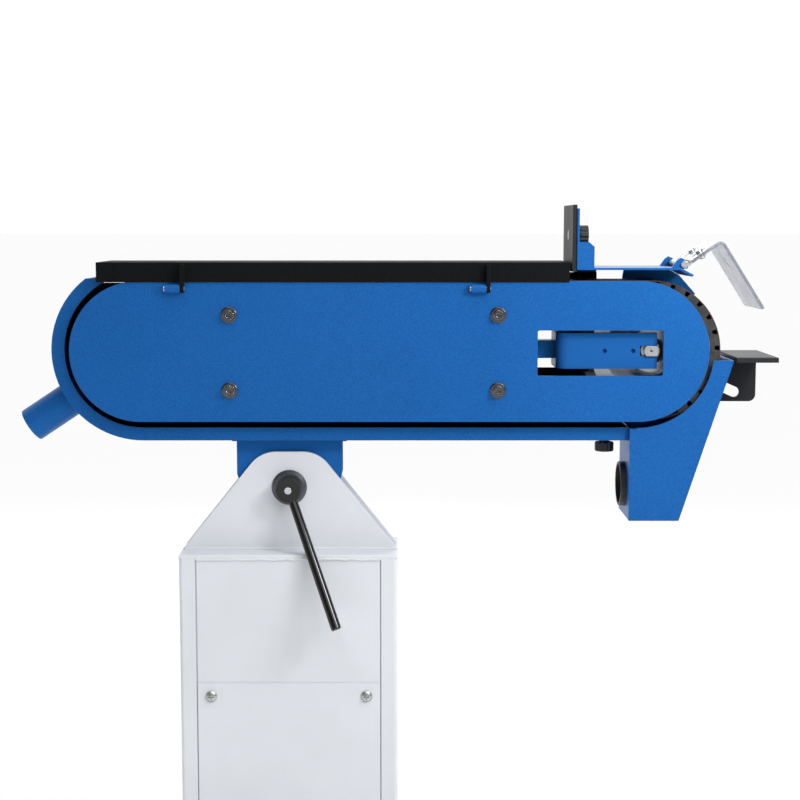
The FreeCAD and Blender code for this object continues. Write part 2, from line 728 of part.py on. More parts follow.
def build_cover_fasteners():
    posts, washers, screws = [], [], []
    post_start = COVER_Y + S.cover_sheet
    post_length = FRAME_Y - post_start
    for number, (across, up) in enumerate(POST_PLACES):
        x, z = head_point(across, up)
        outer = hexagon("post_outer_{}".format(number), 17, post_length, (x, post_start, z), "Y")
        bore = rod("post_bore_{}".format(number), 4.05, 30, (x, post_start - 1, z), "Y")
        posts.append(cut("post_{}".format(number), outer, [bore]))
        washers.append(turned("washer_{}".format(number), WASHER_PROFILE, (x, COVER_Y, z), "-Y"))
        screws.append(socket_screw("screw_{}".format(number), 4, 6.5, 7, 6, 24, (x, COVER_Y - 2, z), "Y"))
    node(group("cover_posts", posts), "cover_posts")
    node(group("cover_screws", screws + washers), "cover_screws")


HINGE_STARTS = [-303.0, 111.0]
BARREL_LENGTH = 20.0


BARREL_RADIUS = 6.0
HINGE_Y = COVER_Y - BARREL_RADIUS
HINGE_Z = WHEEL_Z + S.hinge_height


def hinge_barrels():
    """Two sleeves welded on the front cover for the top guard's hinge pins."""
    barrels = []
    for number, start in enumerate(HINGE_STARTS):
        x = HEAD_X + start
        sleeve = rod("barrel_sleeve_{}".format(number), BARREL_RADIUS, BARREL_LENGTH, (x, HINGE_Y, HINGE_Z),
                     "X")
        web = box("barrel_web_{}".format(number), (x, HINGE_Y, HINGE_Z - 4),
                  (x + BARREL_LENGTH, COVER_Y, HINGE_Z + 4))
        bore = rod("barrel_bore_{}".format(number), S.hinge_pin_radius + S.running_gap, BARREL_LENGTH + 2,
                   (x - 1, HINGE_Y, HINGE_Z), "X")
        barrels.append(cut("barrel_{}".format(number),
                           fuse("barrel_blank_{}".format(number), [sleeve, web]), [bore]))
    return barrels


def guard_straps():
    """Flat bars welded on the guard's front, each with an eye for its hinge pin."""
    straps = []
    for number, start in enumerate(HINGE_STARTS):
        x = HEAD_X + start + BARREL_LENGTH + 0.5
        bar = box("strap_bar_{}".format(number), (x, HINGE_Y - 5.5, HINGE_Z),
                  (x + 5, HINGE_Y + 4, HINGE_Z + 33))
        foot = rod("strap_foot_{}".format(number), 5.5, 5, (x, HINGE_Y, HINGE_Z), "X")
        eye = rod("strap_eye_{}".format(number), S.hinge_pin_radius, 7, (x - 1, HINGE_Y, HINGE_Z), "X")
        straps.append(cut("strap_{}".format(number), fuse("strap_blank_{}".format(number), [bar, foot]),
                          [eye]))
    return straps


def build_hinge_pins():
    pins = []
    for number, start in enumerate(HINGE_STARTS):
        x = HEAD_X + start
        shank = rod("pin_shank_{}".format(number), S.hinge_pin_radius, BARREL_LENGTH + 7.5,
                    (x - 1.5, HINGE_Y, HINGE_Z), "X")
        head = rod("pin_head_{}".format(number), 4.2, 1.5, (x - 2, HINGE_Y, HINGE_Z), "X")
        pins.append(fuse("pin_{}".format(number), [shank, head]))
    node(group("hinge_pins", pins), "hinge_pins")


def build_top_guard():
    left = HEAD_X - 397
    right = left + S.guard_length
    front = COVER_Y - 2
    back = BELT_Y + 58
    top = WHEEL_Z + S.guard_top
    outer = box("guard_outer", (left, front, WHEEL_Z + S.guard_bottom), (right, back, top))
    outer = rounded("guard_bends", outer, 2.5, lambda edge: edge.Length > 500
                    and edge.Vertexes[0].Point.z > top - 1)
    inner = box("guard_inner", (left + 2, front + 2, WHEEL_Z + S.guard_bottom - 1),
                (right + 1, back - 2, top - 2))
    node(fuse("top_guard", [cut("guard_channel", outer, [inner])] + guard_straps()), "top_guard")


# ---------------------------------------------------------------- belt run

def build_belt():
    y = BELT_Y - S.belt_width / 2
    loops = []
    for side, radius, start, width in (("outer", BELT_OUTER, y, S.belt_width),
                                       ("inner", BELT_INNER, y - 1, S.belt_width + 2)):
        loops.append(fuse("belt_" + side, [
            rod("belt_{}_drive".format(side), radius, width, (DRIVE_X, start, WHEEL_Z), "Y"),
            rod("belt_{}_contact".format(side), radius, width, (CONTACT_X, start, WHEEL_Z), "Y"),
            box("belt_{}_run".format(side), (DRIVE_X, start, WHEEL_Z - radius),
                (CONTACT_X, start + width, WHEEL_Z + radius)),
        ]))
    node(cut("abrasive_belt", loops[0], [loops[1]]), "abrasive_belt")


def build_platen():
    top = WHEEL_Z + BELT_INNER - 0.2
    left = HEAD_X - 250
    right = HEAD_X + 240
    slab = box("platen_slab", (left, BELT_Y - 40, top - 6), (right, FRAME_Y, top))
    slab = rounded("platen_slab_rounded", slab, 2.5, lambda edge: lies_across(edge)
                   and min(end.Point.z for end in edge.Vertexes) > top - 1)
    arms = []
    for number, across in enumerate((-200.0, 0.0, 180.0)):
        x = HEAD_X + across
        outline = [(BELT_Y - 30, top - 6), (FRAME_Y, top - 6), (FRAME_Y, top - 46),
                   (FRAME_Y - 12, top - 46), (BELT_Y - 30, top - 16)]
        arms.append(plate("platen_arm_{}".format(number), "YZ", outline, 6, (x, 0, 0)))
    node(fuse("platen", [slab] + arms), "platen")


def build_drive_wheel():
    half = S.belt_width / 2
    rim_inner = S.wheel_radius - 10
    outline = [(S.shaft_radius, 0), (30, 0), (30, 14), (rim_inner, 14), (rim_inner, 0),
               (S.wheel_radius - 1.5, 0),
               (S.wheel_radius, 1.5), (S.wheel_radius, 2 * half - 1.5), (S.wheel_radius - 1.5, 2 * half),
               (rim_inner, 2 * half), (rim_inner, 26), (30, 26), (30, 60), (S.shaft_radius, 60)]
    wheel = turned("drive_wheel_blank", outline, (DRIVE_X, BELT_Y - half, WHEEL_Z), "Y")
    keyway = box("drive_wheel_keyway", (DRIVE_X - 4, BELT_Y - half - 1, WHEEL_Z),
                 (DRIVE_X + 4, BELT_Y - half + 61, WHEEL_Z + S.shaft_radius + 3.3))
    node(cut("drive_wheel", wheel, [keyway]), "drive_wheel")
    key = box("wheel_key", (DRIVE_X - 4, BELT_Y - half + 8, WHEEL_Z + S.shaft_radius - 4),
              (DRIVE_X + 4, BELT_Y - half + 55, WHEEL_Z + S.shaft_radius + 3))
    node(key, "wheel_key")
    face_y = BELT_Y - half
    washer = rod("drive_wheel_washer", 22, 3, (DRIVE_X, face_y - 3, WHEEL_Z), "Y")
    bolt = hex_bolt("drive_wheel_hex", 4, 13, 5.3, 22, (DRIVE_X, face_y - 3, WHEEL_Z), "Y")
    node(fuse("drive_wheel_bolt", [washer, bolt]), "drive_wheel_bolt")


def build_contact_wheel():
    half = S.belt_width / 2
    hub_radius = S.wheel_radius - S.tread_thickness
    seat = 21.0
    outline = [(14, 0), (14, -25), (seat, -25), (seat, -37), (30, -37), (34, -35), (34, -16), (62, -16),
               (62, -half), (hub_radius, -half), (hub_radius, half), (62, half), (62, 16), (34, 16),
               (34, 35), (30, 37), (seat, 37), (seat, 25), (14, 25)]
    hub = turned("contact_wheel_hub", outline, (CONTACT_X, BELT_Y, WHEEL_Z), "Y")
    node(hub, "contact_wheel_hub")
    bearings = []
    for number, start in enumerate((BELT_Y - 37, BELT_Y + 25)):
        inner = S.axle_radius + S.running_gap
        outline = [(inner, 0), (15, 0), (15, 1), (17, 1), (17, 0), (seat, 0), (seat, 12), (17, 12),
                   (17, 11), (15, 11), (15, 12), (inner, 12)]
        bearings.append(turned("wheel_bearing_{}".format(number), outline, (CONTACT_X, start, WHEEL_Z),
                               "Y"))
    node(group("wheel_bearings", bearings), "wheel_bearings")
    build_tread(hub_radius, half)


def build_tread(hub_radius, half):
    """The rubber tyre, with cushion grooves cut across it."""
    body = doc.addObject("PartDesign::Body", "contact_wheel_tread")
    ring = body.newObject("PartDesign::Pad", "tread_ring")
    ring.Profile = circle_sketch(body, "tread_circles", "XZ",
                                 [(Size(0), Size(0), S.wheel_radius), (Size(0), Size(0), hub_radius)])
    bind(ring, "Length", 2 * half)
    ring.Reversed = True
    body.Tip = ring
    doc.recompute()
    full_volume = ring.Shape.Volume
    groove = body.newObject("PartDesign::Pocket", "tread_groove")
    depth = S.wheel_radius - 6.5
    groove.Profile = outline_sketch(body, "groove_outline", "XZ",
                                    [(-2.4, depth), (2.2, depth), (4.4, S.wheel_radius + 2),
                                     (-3.4, S.wheel_radius + 2)])
    groove.Type = "ThroughAll"
    body.Tip = groove
    doc.recompute()
    if groove.Shape.Volume >= full_volume:
        raise RuntimeError("the tread groove cuts nothing")
    ring_pattern(body, "tread_grooves", groove, groove.Profile[0], S.tread_grooves)
    first_groove = FreeCAD.Rotation(FreeCAD.Vector(0, 1, 0), 4.6)
    node(place(body, CONTACT_X, BELT_Y - half, WHEEL_Z, first_groove), "contact_wheel_tread")


def build_wheel_axle():
    length = 94.5
    start = BELT_Y - 49
    blank = rod("axle_blank", S.axle_radius, length, (CONTACT_X, start, WHEEL_Z), "Y")
    cutters = []
    for end, (low, high) in enumerate(((start - 1, start + 12), (start + length - 12, start + length + 1))):
        for side, (bottom, top) in enumerate(((-20.0, -6.9), (6.9, 20.0))):
            cutters.append(box("axle_flat_{}_{}".format(end, side), (CONTACT_X - 15, low, WHEEL_Z + bottom),
                               (CONTACT_X + 15, high, WHEEL_Z + top)))
        tip = start - 0.01 if end == 0 else start + length + 0.01
        cutters.append(cone("axle_centre_{}".format(end), 2.2, 0.2, 3.5, (CONTACT_X, tip, WHEEL_Z),
                            ("Y", "-Y")[end]))
    node(cut("wheel_axle", blank, cutters), "wheel_axle")


def build_tension_fork():
    half_height = 24.5
    outer_y = 45.0
    thickness = 6.0
    base_x = HEAD_X + 229
    right = HEAD_X + 367
    outer = box("fork_outer", (base_x, BELT_Y - outer_y, WHEEL_Z - half_height),
                (right, BELT_Y + outer_y, WHEEL_Z + half_height))
    outer = rounded("fork_outer_bend", outer, 16, lambda edge: abs(edge.Vertexes[0].Point.x - base_x) < 0.1
                    and abs(edge.Vertexes[-1].Point.x - base_x) < 0.1
                    and abs(edge.Vertexes[0].Point.z - edge.Vertexes[-1].Point.z) > 1)
    inner = box("fork_inner", (base_x + thickness, BELT_Y - outer_y + thickness, WHEEL_Z - half_height - 1),
                (right + 1, BELT_Y + outer_y - thickness, WHEEL_Z + half_height + 1))
    inner = rounded("fork_inner_bend", inner, 10,
                    lambda edge: abs(edge.Vertexes[0].Point.x - base_x - thickness) < 0.1
                    and abs(edge.Vertexes[-1].Point.x - base_x - thickness) < 0.1
                    and abs(edge.Vertexes[0].Point.z - edge.Vertexes[-1].Point.z) > 1)
    cutters = [inner, box("fork_slot", (HEAD_X + 343.6, BELT_Y - 60, WHEEL_Z - 7),
                          (right + 1, BELT_Y + 60, WHEEL_Z + 7))]
    for number, across in enumerate((295.0, 334.0)):
        cutters.append(rod("fork_hole_{}".format(number), 3.1, 20, (HEAD_X + across, BELT_Y - 60, WHEEL_Z),
                           "Y"))
    yoke = cut("fork_yoke", outer, cutters)
    stem = box("fork_stem", (HEAD_X + 110, BELT_Y - 12.5, WHEEL_Z - 12.5),
               (base_x + 0.5, BELT_Y + 12.5, WHEEL_Z + 12.5))
    node(fuse("tension_fork", [yoke, stem]), "tension_fork")


def build_stem_guide():
    left = HEAD_X + 40
    right = HEAD_X + 180
    half = 17.0
    bore = 12.6
    blank = fuse("guide_blank", [
        box("guide_tube", (left, BELT_Y - half, WHEEL_Z - half), (right, BELT_Y + half, WHEEL_Z + half)),
        box("guide_foot_left", (left + 10, BELT_Y + half, WHEEL_Z - 12),
            (left + 30, FRAME_Y, WHEEL_Z + 12)),
        box("guide_foot_right", (right - 50, BELT_Y + half, WHEEL_Z - 12),
            (right - 30, FRAME_Y, WHEEL_Z + 12)),
    ])
    inner = box("guide_bore", (left + 5, BELT_Y - bore, WHEEL_Z - bore),
                (right + 1, BELT_Y + bore, WHEEL_Z + bore))
    node(cut("stem_guide", blank, [inner]), "stem_guide")


def build_tension_spring():
    """Compression spring between the guide's end wall and the fork's stem."""
    length = 64.6
    wire = 1.5
    radius = 9.5
    turns_pitch = (length - 2 * wire) / 8
    helix = Part.makeHelix(turns_pitch, length - 2 * wire, radius)
    start = FreeCAD.Vector(radius, 0, 0)
    profile = Part.Wire(Part.makeCircle(wire, start,
                                        FreeCAD.Vector(0, 1, turns_pitch / (2 * math.pi * radius))))
    coil = Part.Wire(helix).makePipeShell([profile], True, True)
    spring = doc.addObject("Part::Feature", "tension_spring")
    spring.Shape = coil
    turn = FreeCAD.Rotation(FreeCAD.Vector(0, 1, 0), 90)
    pose(spring, FreeCAD.Placement(FreeCAD.Vector(HEAD_X + 45.2 + wire, BELT_Y, WHEEL_Z), turn))
    node(spring, "tension_spring")


# ---------------------------------------------------------------- spark chute

def build_spark_chute():
    """Folded sheet-metal box below the contact wheel, open towards the wheel."""
    wall = 2.0
    front_y = BELT_Y - 50
    back_y = FRAME_Y
    left = HEAD_X + 330.5
    foot_x = HEAD_X + 400
    top_right = HEAD_X + 472
    top_z = WHEEL_Z - 13
    port_z = WHEEL_Z - 191
    floor_z = WHEEL_Z - S.chute_depth
    shoulder_z = WHEEL_Z - 100
    outline = [(left, shoulder_z), (left, floor_z), (foot_x, floor_z), (top_right, top_z), (left, top_z)]
    inner_outline = [(left + wall, top_z + 5), (left + wall, floor_z + wall),
                     (foot_x - 1.4, floor_z + wall),
                     (top_right - 0.4, top_z + 5)]
    block = plate("chute_block", "XZ", outline, back_y - front_y, (0, back_y, 0))
    block = rounded("chute_soft_block", block, 1.5, lambda edge: lies_across(edge)
                    and edge.Vertexes[0].Point.z < shoulder_z - 10)
    inside = plate("chute_inside", "XZ", inner_outline, back_y - front_y - 2 * wall,
                   (-0.8, back_y - wall, 0))
    scoop = rod("chute_scoop", S.chute_arc_radius, 140, (COVER_RIGHT_X, front_y - 20, WHEEL_Z - 1.5), "Y")
    above = box("chute_above", (left - 20, front_y - 20, WHEEL_Z - S.shell_radius + 17.5),
                (COVER_RIGHT_X, back_y + 20, WHEEL_Z + 50))
    port = rod("chute_port_hole", S.port_radius + 2, 30, (left - 10, BELT_Y, port_z), "X")
    tongue_z = WHEEL_Z - S.shell_radius
    tongue = box("chute_tongue", (left - 46, BELT_Y - 25, tongue_z - wall), (left, BELT_Y + 25, tongue_z))
    tongue_hole = rod("tongue_hole", 4.3, 10, (CHUTE_KNOB_X, BELT_Y, tongue_z - 5))
    inner_gap = box("chute_shell_notch", (left - 60, front_y - 1, tongue_z), (left, back_y + 1, WHEEL_Z))
    blank = cut("chute_walls", block, [inside, scoop, above, port, inner_gap])
    node(fuse("spark_chute", [blank, cut("chute_tongue_drilled", tongue, [tongue_hole])]), "spark_chute")
    collar_length = 8.0
    collar_radius = S.port_radius + 4.5
    collar = turned("dust_port_collar",
                    [(S.port_radius, 0), (S.port_radius, collar_length), (collar_radius - 1, collar_length),
                     (collar_radius, collar_length - 1.5), (collar_radius, 0)],
                    (left, BELT_Y, port_z), "-X")
    node(collar, "dust_port_collar")


def build_chute_knob():
    x = CHUTE_KNOB_X
    top = WHEEL_Z - S.shell_radius - 2
    grip = fluted_grip("chute_knob_grip", 13.2, 13, 10)
    place(grip, x, BELT_Y, top - 18, AXIS_TURN["Z"])
    neck = rod("chute_knob_neck", 7, 5, (x, BELT_Y, top - 5.2))
    stud = rod("chute_knob_stud", 4, 14, (x, BELT_Y, top - 5.2))
    node(fuse("chute_knob", [grip, neck, stud]), "chute_knob")


def fluted_grip(name, radius, length, flutes):
    """A round grip with shallow flutes along its length, standing on local Z."""
    body = doc.addObject("PartDesign::Body", name)
    pad = body.newObject("PartDesign::Pad", name + "_pad")
    pad.Profile = circle_sketch(body, name + "_circle", "XY", [(Size(0), Size(0), Size(radius))])
    pad.Length = length
    body.Tip = pad
    doc.recompute()
    edges = ["Edge{}".format(number) for number, edge in enumerate(pad.Shape.Edges, start=1)
             if len(edge.Vertexes) == 1]
    chamfer = body.newObject("PartDesign::Fillet", name + "_rims")
    chamfer.Base = (pad, edges)
    chamfer.Radius = 1.6
    body.Tip = chamfer
    doc.recompute()
    volume = chamfer.Shape.Volume
    flute = body.newObject("PartDesign::Pocket", name + "_flute")
    flute.Profile = circle_sketch(body, name + "_flute_circle", "XY",
                                  [(Size(radius + 1.6), Size(0), Size(3.0))])
    flute.Type = "ThroughAll"
    flute.Reversed = True
    body.Tip = flute
    doc.recompute()
    if flute.Shape.Volume >= volume:
        raise RuntimeError(name + ": the flute cuts nothing")
    ring_pattern(body, name + "_flutes", flute, flute.Profile[0], Size(flutes))
    return body


# ---------------------------------------------------------------- wheel guard, stop and shield

GUARD_NEAR = -60.0
GUARD_FAR = 58.0
STOP_SCREW_UP = 158.0
STOP_FACE = 248.0
STOP_PLATE_SHEET = 6.0
UPRIGHT_NEAR = 254.2
UPRIGHT_FAR = 257.2


def build_wheel_guard():
    near = BELT_Y + GUARD_NEAR
    far = BELT_Y + GUARD_FAR
    top = S.plate_top
    upright_top = 194.0
    outline = head_points([(UPRIGHT_NEAR, top - 3), (UPRIGHT_NEAR, upright_top), (UPRIGHT_FAR, upright_top),
                           (UPRIGHT_FAR, top), (394.5, top), (412.5, top - 9.5), (411.2, top - 12.2),
                           (394.0, top - 3)])
    sheet_metal = plate("guard_sheet", "XZ", outline, far - near, (0, far, 0))
    bend = [head_point(UPRIGHT_NEAR, top - 3)]
    sheet_metal = rounded("guard_bent_sheet", sheet_metal, 2.4,
                          lambda edge: on_line(edge, bend) and lies_across(edge))
    slot_below = 3.5
    slot_length = 29.0
    low_x, low_z = head_point(UPRIGHT_NEAR - 2, STOP_SCREW_UP - slot_below)
    opening = slot("stop_slot", 4.3, (0, 0, 0), (slot_length, 0, 0), 12)
    pose(opening, FreeCAD.Placement(
        FreeCAD.Vector(low_x, BELT_Y, low_z),
        FreeCAD.Rotation(FreeCAD.Vector(0, 0, 1), FreeCAD.Vector(1, 0, 0), FreeCAD.Vector(0, 1, 0), "XYZ")))
    gusset_top = 148.8
    gusset_outline = head_points([(UPRIGHT_FAR, top), (UPRIGHT_FAR, gusset_top), (270.0, gusset_top),
                                  (277.6, 142.5), (277.6, top)])
    gusset = plate("guard_gusset", "XZ", gusset_outline, 3, (0, near + 3, 0))
    lugs = []
    lug_outline = head_points([(383.0, top), (390.0, top + 10), (395.0, top + 13.5), (401.0, top + 11),
                               (405.2, top + 6), (404.6, top - 1), (398.0, top - 1.8), (394.4, top)])
    pin_x, pin_z = head_point(*SHIELD_PIN)
    for number, across in enumerate((-56.0, 44.0)):
        lug = plate("shield_lug_{}".format(number), "XZ", lug_outline, 4, (0, BELT_Y + across + 4, 0),
                    [(pin_x, pin_z, 3.05)])
        lugs.append(lug)
    slotted = cut("guard_slotted", sheet_metal, [opening])
    node(fuse("wheel_guard", [slotted, gusset] + lugs), "wheel_guard")


def lies_across(edge):
    """Whether a straight edge runs along the Y axis."""
    return abs(edge.tangentAt(edge.FirstParameter).y) > 0.9


def on_line(edge, places):
    start, end = edge.Vertexes[0].Point, edge.Vertexes[-1].Point
    return any(abs(point.x - x) < 0.01 and abs(point.z - z) < 0.01
               for point in (start, end) for x, z in places)


def build_guard_side_plate():
    outline = head_points([(262.0, 110.9), (294.0, 110.9), (294.0, 84.0), (329.0, 84.0), (333.0, 110.9),
                           (393.0, 110.9), (412.0, 100.6), (435.0, 74.5), (420.0, 40.0), (262.0, 40.0)])
    holes = [head_point(across, up) + (3.1,) for across, up in SIDE_PLATE_BOLTS]
    back = FRAME_BACK_Y + 3
    node(plate("wheel_guard_side", "XZ", outline, 3, (0, back, 0), holes), "wheel_guard_side")
    bolts = []
    for number, (across, up) in enumerate(SIDE_PLATE_BOLTS):
        x, z = head_point(across, up)
        bolts.append(hex_bolt("side_bolt_{}".format(number), 3, 10, 4, 9, (x, back, z), "-Y"))
    node(group("side_plate_bolts", bolts), "side_plate_bolts")


def build_work_stop():
    near = BELT_Y - 58
    far = BELT_Y + 62
    x, low = head_point(STOP_FACE, S.stop_bottom)
    top = WHEEL_Z + S.stop_top
    screw_z = WHEEL_Z + STOP_SCREW_UP
    blank = box("stop_blank", (x, near, low), (x + STOP_PLATE_SHEET, far, top))
    blank = rounded("stop_rounded", blank, 1.5,
                    lambda edge: min(end.Point.z for end in edge.Vertexes) > top - 1)
    seat = rod("stop_screw_seat", 7.1, 3, (x - 1, BELT_Y, screw_z), "X")
    hole = rod("stop_screw_hole", 4.1, 12, (x - 2, BELT_Y, screw_z), "X")
    node(cut("stop_plate", blank, [seat, hole]), "stop_plate")
    head = rod("stop_screw_head", 7, 2, (x, BELT_Y, screw_z), "X")
    shank = rod("stop_screw_shank", 4, 24, (x, BELT_Y, screw_z), "X")
    slit = box("stop_screw_slit", (x - 1, BELT_Y - 1, screw_z - 8), (x + 1, BELT_Y + 1, screw_z + 8))
    node(cut("stop_screw", fuse("stop_screw_blank", [head, shank]), [slit]), "stop_screw")
    collar_x = HEAD_X + UPRIGHT_FAR + 0.2
    collar_length = 5.5
    grip = fluted_grip("stop_knob_grip", 13.4, 12.5, 10)
    place(grip, collar_x + collar_length, BELT_Y, screw_z, AXIS_TURN["X"])
    collar = rod("stop_knob_collar", 8.5, collar_length + 0.2, (collar_x, BELT_Y, screw_z), "X")
    bore = rod("stop_knob_bore", 4 + S.running_gap, 15.6, (collar_x - 0.4, BELT_Y, screw_z), "X")
    node(cut("stop_knob", fuse("stop_knob_blank", [grip, collar]), [bore]), "stop_knob")


SHIELD_PIN = (400.0, 118.4)
SHIELD_FOOT = (411.0, 120.8)
SHIELD_APEX = (449.0, 147.3)
SHIELD_TIP = (506.0, 57.5)


def build_shield():
    """Bent clear sheet on a hinged leaf, clamped by two screws through its slots."""
    width = 110.0
    near = BELT_Y - 60
    first = unit(SHIELD_FOOT, SHIELD_APEX)
    second = unit(SHIELD_APEX, SHIELD_TIP)
    thick = S.shield_sheet
    first_up = (-first[1] * thick, first[0] * thick)
    second_up = (-second[1] * thick, second[0] * thick)
    corner_up = outer_corner(first, second, thick)
    outline = head_points([SHIELD_FOOT, SHIELD_APEX, SHIELD_TIP, shifted(SHIELD_TIP, second_up),
                           shifted(SHIELD_APEX, corner_up), shifted(SHIELD_FOOT, first_up)])
    blank = plate("shield_blank", "XZ", outline, width, (0, near + width, 0))
    outside = outline[4]
    inside = outline[1]
    inner_bend = 5
    blank = rounded("shield_outer_bend", blank, inner_bend + thick,
                    lambda edge: on_line(edge, [outside]) and lies_across(edge))
    blank = rounded("shield_inner_bend", blank, inner_bend,
                    lambda edge: on_line(edge, [inside]) and lies_across(edge))
    slots = []
    slope = math.degrees(math.atan2(first[1], first[0]))
    lean = FreeCAD.Rotation(FreeCAD.Vector(0, -1, 0), slope)
    for number, across in enumerate(SHIELD_SCREWS_Y):
        cutter = slot("shield_slot_{}".format(number), 3.2, (0, 0, 0), (16.0, 0, 0), 30)
        along = (SHIELD_FOOT[0] + first[0] * 10, SHIELD_FOOT[1] + first[1] * 10)
        x, z = head_point(*along)
        base = FreeCAD.Vector(x, BELT_Y + across, z) - lean.multVec(FreeCAD.Vector(0, 0, 12))
        upright = FreeCAD.Rotation(FreeCAD.Vector(1, 0, 0), 90)
        pose(cutter, FreeCAD.Placement(base, lean.multiply(upright)))
        slots.append(cutter)
    node(cut("clear_shield", blank, slots), "clear_shield")
    build_shield_leaf(first, lean)


SHIELD_SCREWS_Y = (-32.0, 22.0)


def build_shield_leaf(first, lean):
    thick = 2.0
    down = (first[1], -first[0])
    foot = shifted(SHIELD_FOOT, (first[0] * -1.5 + down[0] * 0.02, first[1] * -1.5 + down[1] * 0.02))
    far = shifted(foot, (first[0] * 27, first[1] * 27))
    neck = (SHIELD_PIN[0] + 3.0, SHIELD_PIN[1] - 4.0)
    outline = head_points([foot, far, shifted(far, (down[0] * thick, down[1] * thick)),
                           shifted(foot, (down[0] * thick, down[1] * thick)), shifted(neck, (1.0, -1.2)),
                           neck, shifted(SHIELD_PIN, (4.4, -1.0))])
    near = BELT_Y - 50
    depth = 92.0
    leaf = plate("leaf_sheet", "XZ", outline, depth, (0, near + depth, 0))
    pin_x, pin_z = head_point(*SHIELD_PIN)
    barrel = rod("leaf_barrel", 5, depth, (pin_x, near, pin_z), "Y")
    bore = rod("leaf_bore", 3 + S.running_gap, depth + 2, (pin_x, near - 1, pin_z), "Y")
    holes = []
    screws = []
    for number, across in enumerate(SHIELD_SCREWS_Y):
        along = (SHIELD_FOOT[0] + first[0] * 19, SHIELD_FOOT[1] + first[1] * 19)
        x, z = head_point(*along)
        centre = FreeCAD.Vector(x, BELT_Y + across, z)
        hole = rod("leaf_hole_{}".format(number), 2.6, 20, (0, 0, 0))
        pose(hole, FreeCAD.Placement(centre - lean.multVec(FreeCAD.Vector(0, 0, 10)), lean))
        holes.append(hole)
        top = centre + lean.multVec(FreeCAD.Vector(0, 0, S.shield_sheet + 0.3))
        head = rod("shield_screw_head_{}".format(number), 4.8, 2.6, (0, 0, 0))
        pose(head, FreeCAD.Placement(top, lean))
        bottom = centre - lean.multVec(FreeCAD.Vector(0, 0, 6.5))
        shank = rod("shield_screw_shank_{}".format(number), 2.5, S.shield_sheet + 7, (0, 0, 0))
        pose(shank, FreeCAD.Placement(bottom, lean))
        nut = hexagon("shield_screw_nut_{}".format(number), 8, 3.2, (0, 0, 0))
        pose(nut, FreeCAD.Placement(centre - lean.multVec(FreeCAD.Vector(0, 0, 5.3)), lean))
        screws.append(fuse("shield_screw_{}".format(number), [head, shank, nut]))
    node(cut("shield_leaf", fuse("leaf_blank", [leaf, barrel]), [bore] + holes), "shield_leaf")
    node(group("shield_screws", screws), "shield_screws")
    start = BELT_Y - 56
    shank = rod("shield_pin_shank", 3, 108, (pin_x, start, pin_z), "Y")
    heads = [rod("shield_pin_near_head", 4.8, 3.4, (pin_x, start, pin_z), "-Y"),
             rod("shield_pin_far_head", 4.8, 3, (pin_x, start + 104.2, pin_z), "Y")]
    node(fuse("shield_pin", [shank] + heads), "shield_pin")


def unit(start, end):
    across, up = end[0] - start[0], end[1] - start[1]
    length = math.hypot(across, up)
    return across / length, up / length


def shifted(point, offset):
    return point[0] + offset[0], point[1] + offset[1]


def outer_corner(first, second, thick):
    """Offset of the outside corner of a sheet bent from one direction to another."""
    bend = math.acos(first[0] * second[0] + first[1] * second[1])
    across, up = first[0] - second[0], first[1] - second[1]
    length = math.hypot(across, up)
    reach = thick / math.cos(bend / 2)
    return across / length * reach, up / length * reach


# ---------------------------------------------------------------- work table

def build_work_table():
    near = BELT_Y - 60
    left, top = head_point(474.0, -8.0)
    top_plate = box("table_top_blank", (left, near, top - S.table_top_thickness),
                    (left + S.table_length, near + S.table_depth, top))
    top_plate = rounded("table_top_rounded", top_plate, 1.2,
                        lambda edge: min(end.Point.z for end in edge.Vertexes) > top - 0.1)
    web_back = FRAME_BACK_Y + 0.3 + S.table_sheet
    outline = head_points([(406.0, -15.0), (406.0, -80.0), (524.6, -80.0), (524.6, -15.0)])
    web = plate("table_web", "XZ", outline, S.table_sheet, (0, web_back, 0), (), 10,
                [outline[1], outline[2]])
    slots = []
    slope = math.radians(-S.slot_angle)
    for number, (across, up) in enumerate(TABLE_BOLT_PLACES):
        x, z = head_point(across, up)
        ends = [(x + math.cos(slope) * travel, web_back - 10, z + math.sin(slope) * travel)
                for travel in TABLE_SLOT_TRAVEL[number]]
        slots.append(slot("table_slot_{}".format(number), TABLE_SLOT_HALF[number], ends[0], ends[1], 20))
    node(cut("work_table", fuse("table_blank", [top_plate, web]), slots), "work_table")
    bolts, washers = [], []
    for number, (across, up) in enumerate(TABLE_BOLT_PLACES):
        x, z = head_point(across, up)
        bolts.append(hex_bolt("table_bolt_{}".format(number), 4, 13, 5.3, 11.4, (x, web_back + 2.3, z),
                              "-Y"))
        washers.append(tube("table_washer_{}".format(number), 10.5, 6.3, 2, (x, web_back + 0.2, z), "Y"))
    node(group("table_bolts", bolts + washers), "table_bolts")


TABLE_SLOT_HALF = (7.5, 4.5)
TABLE_SLOT_TRAVEL = ((-17.0, 35.0), (-17.0, 2.0))


# ---------------------------------------------------------------- motor

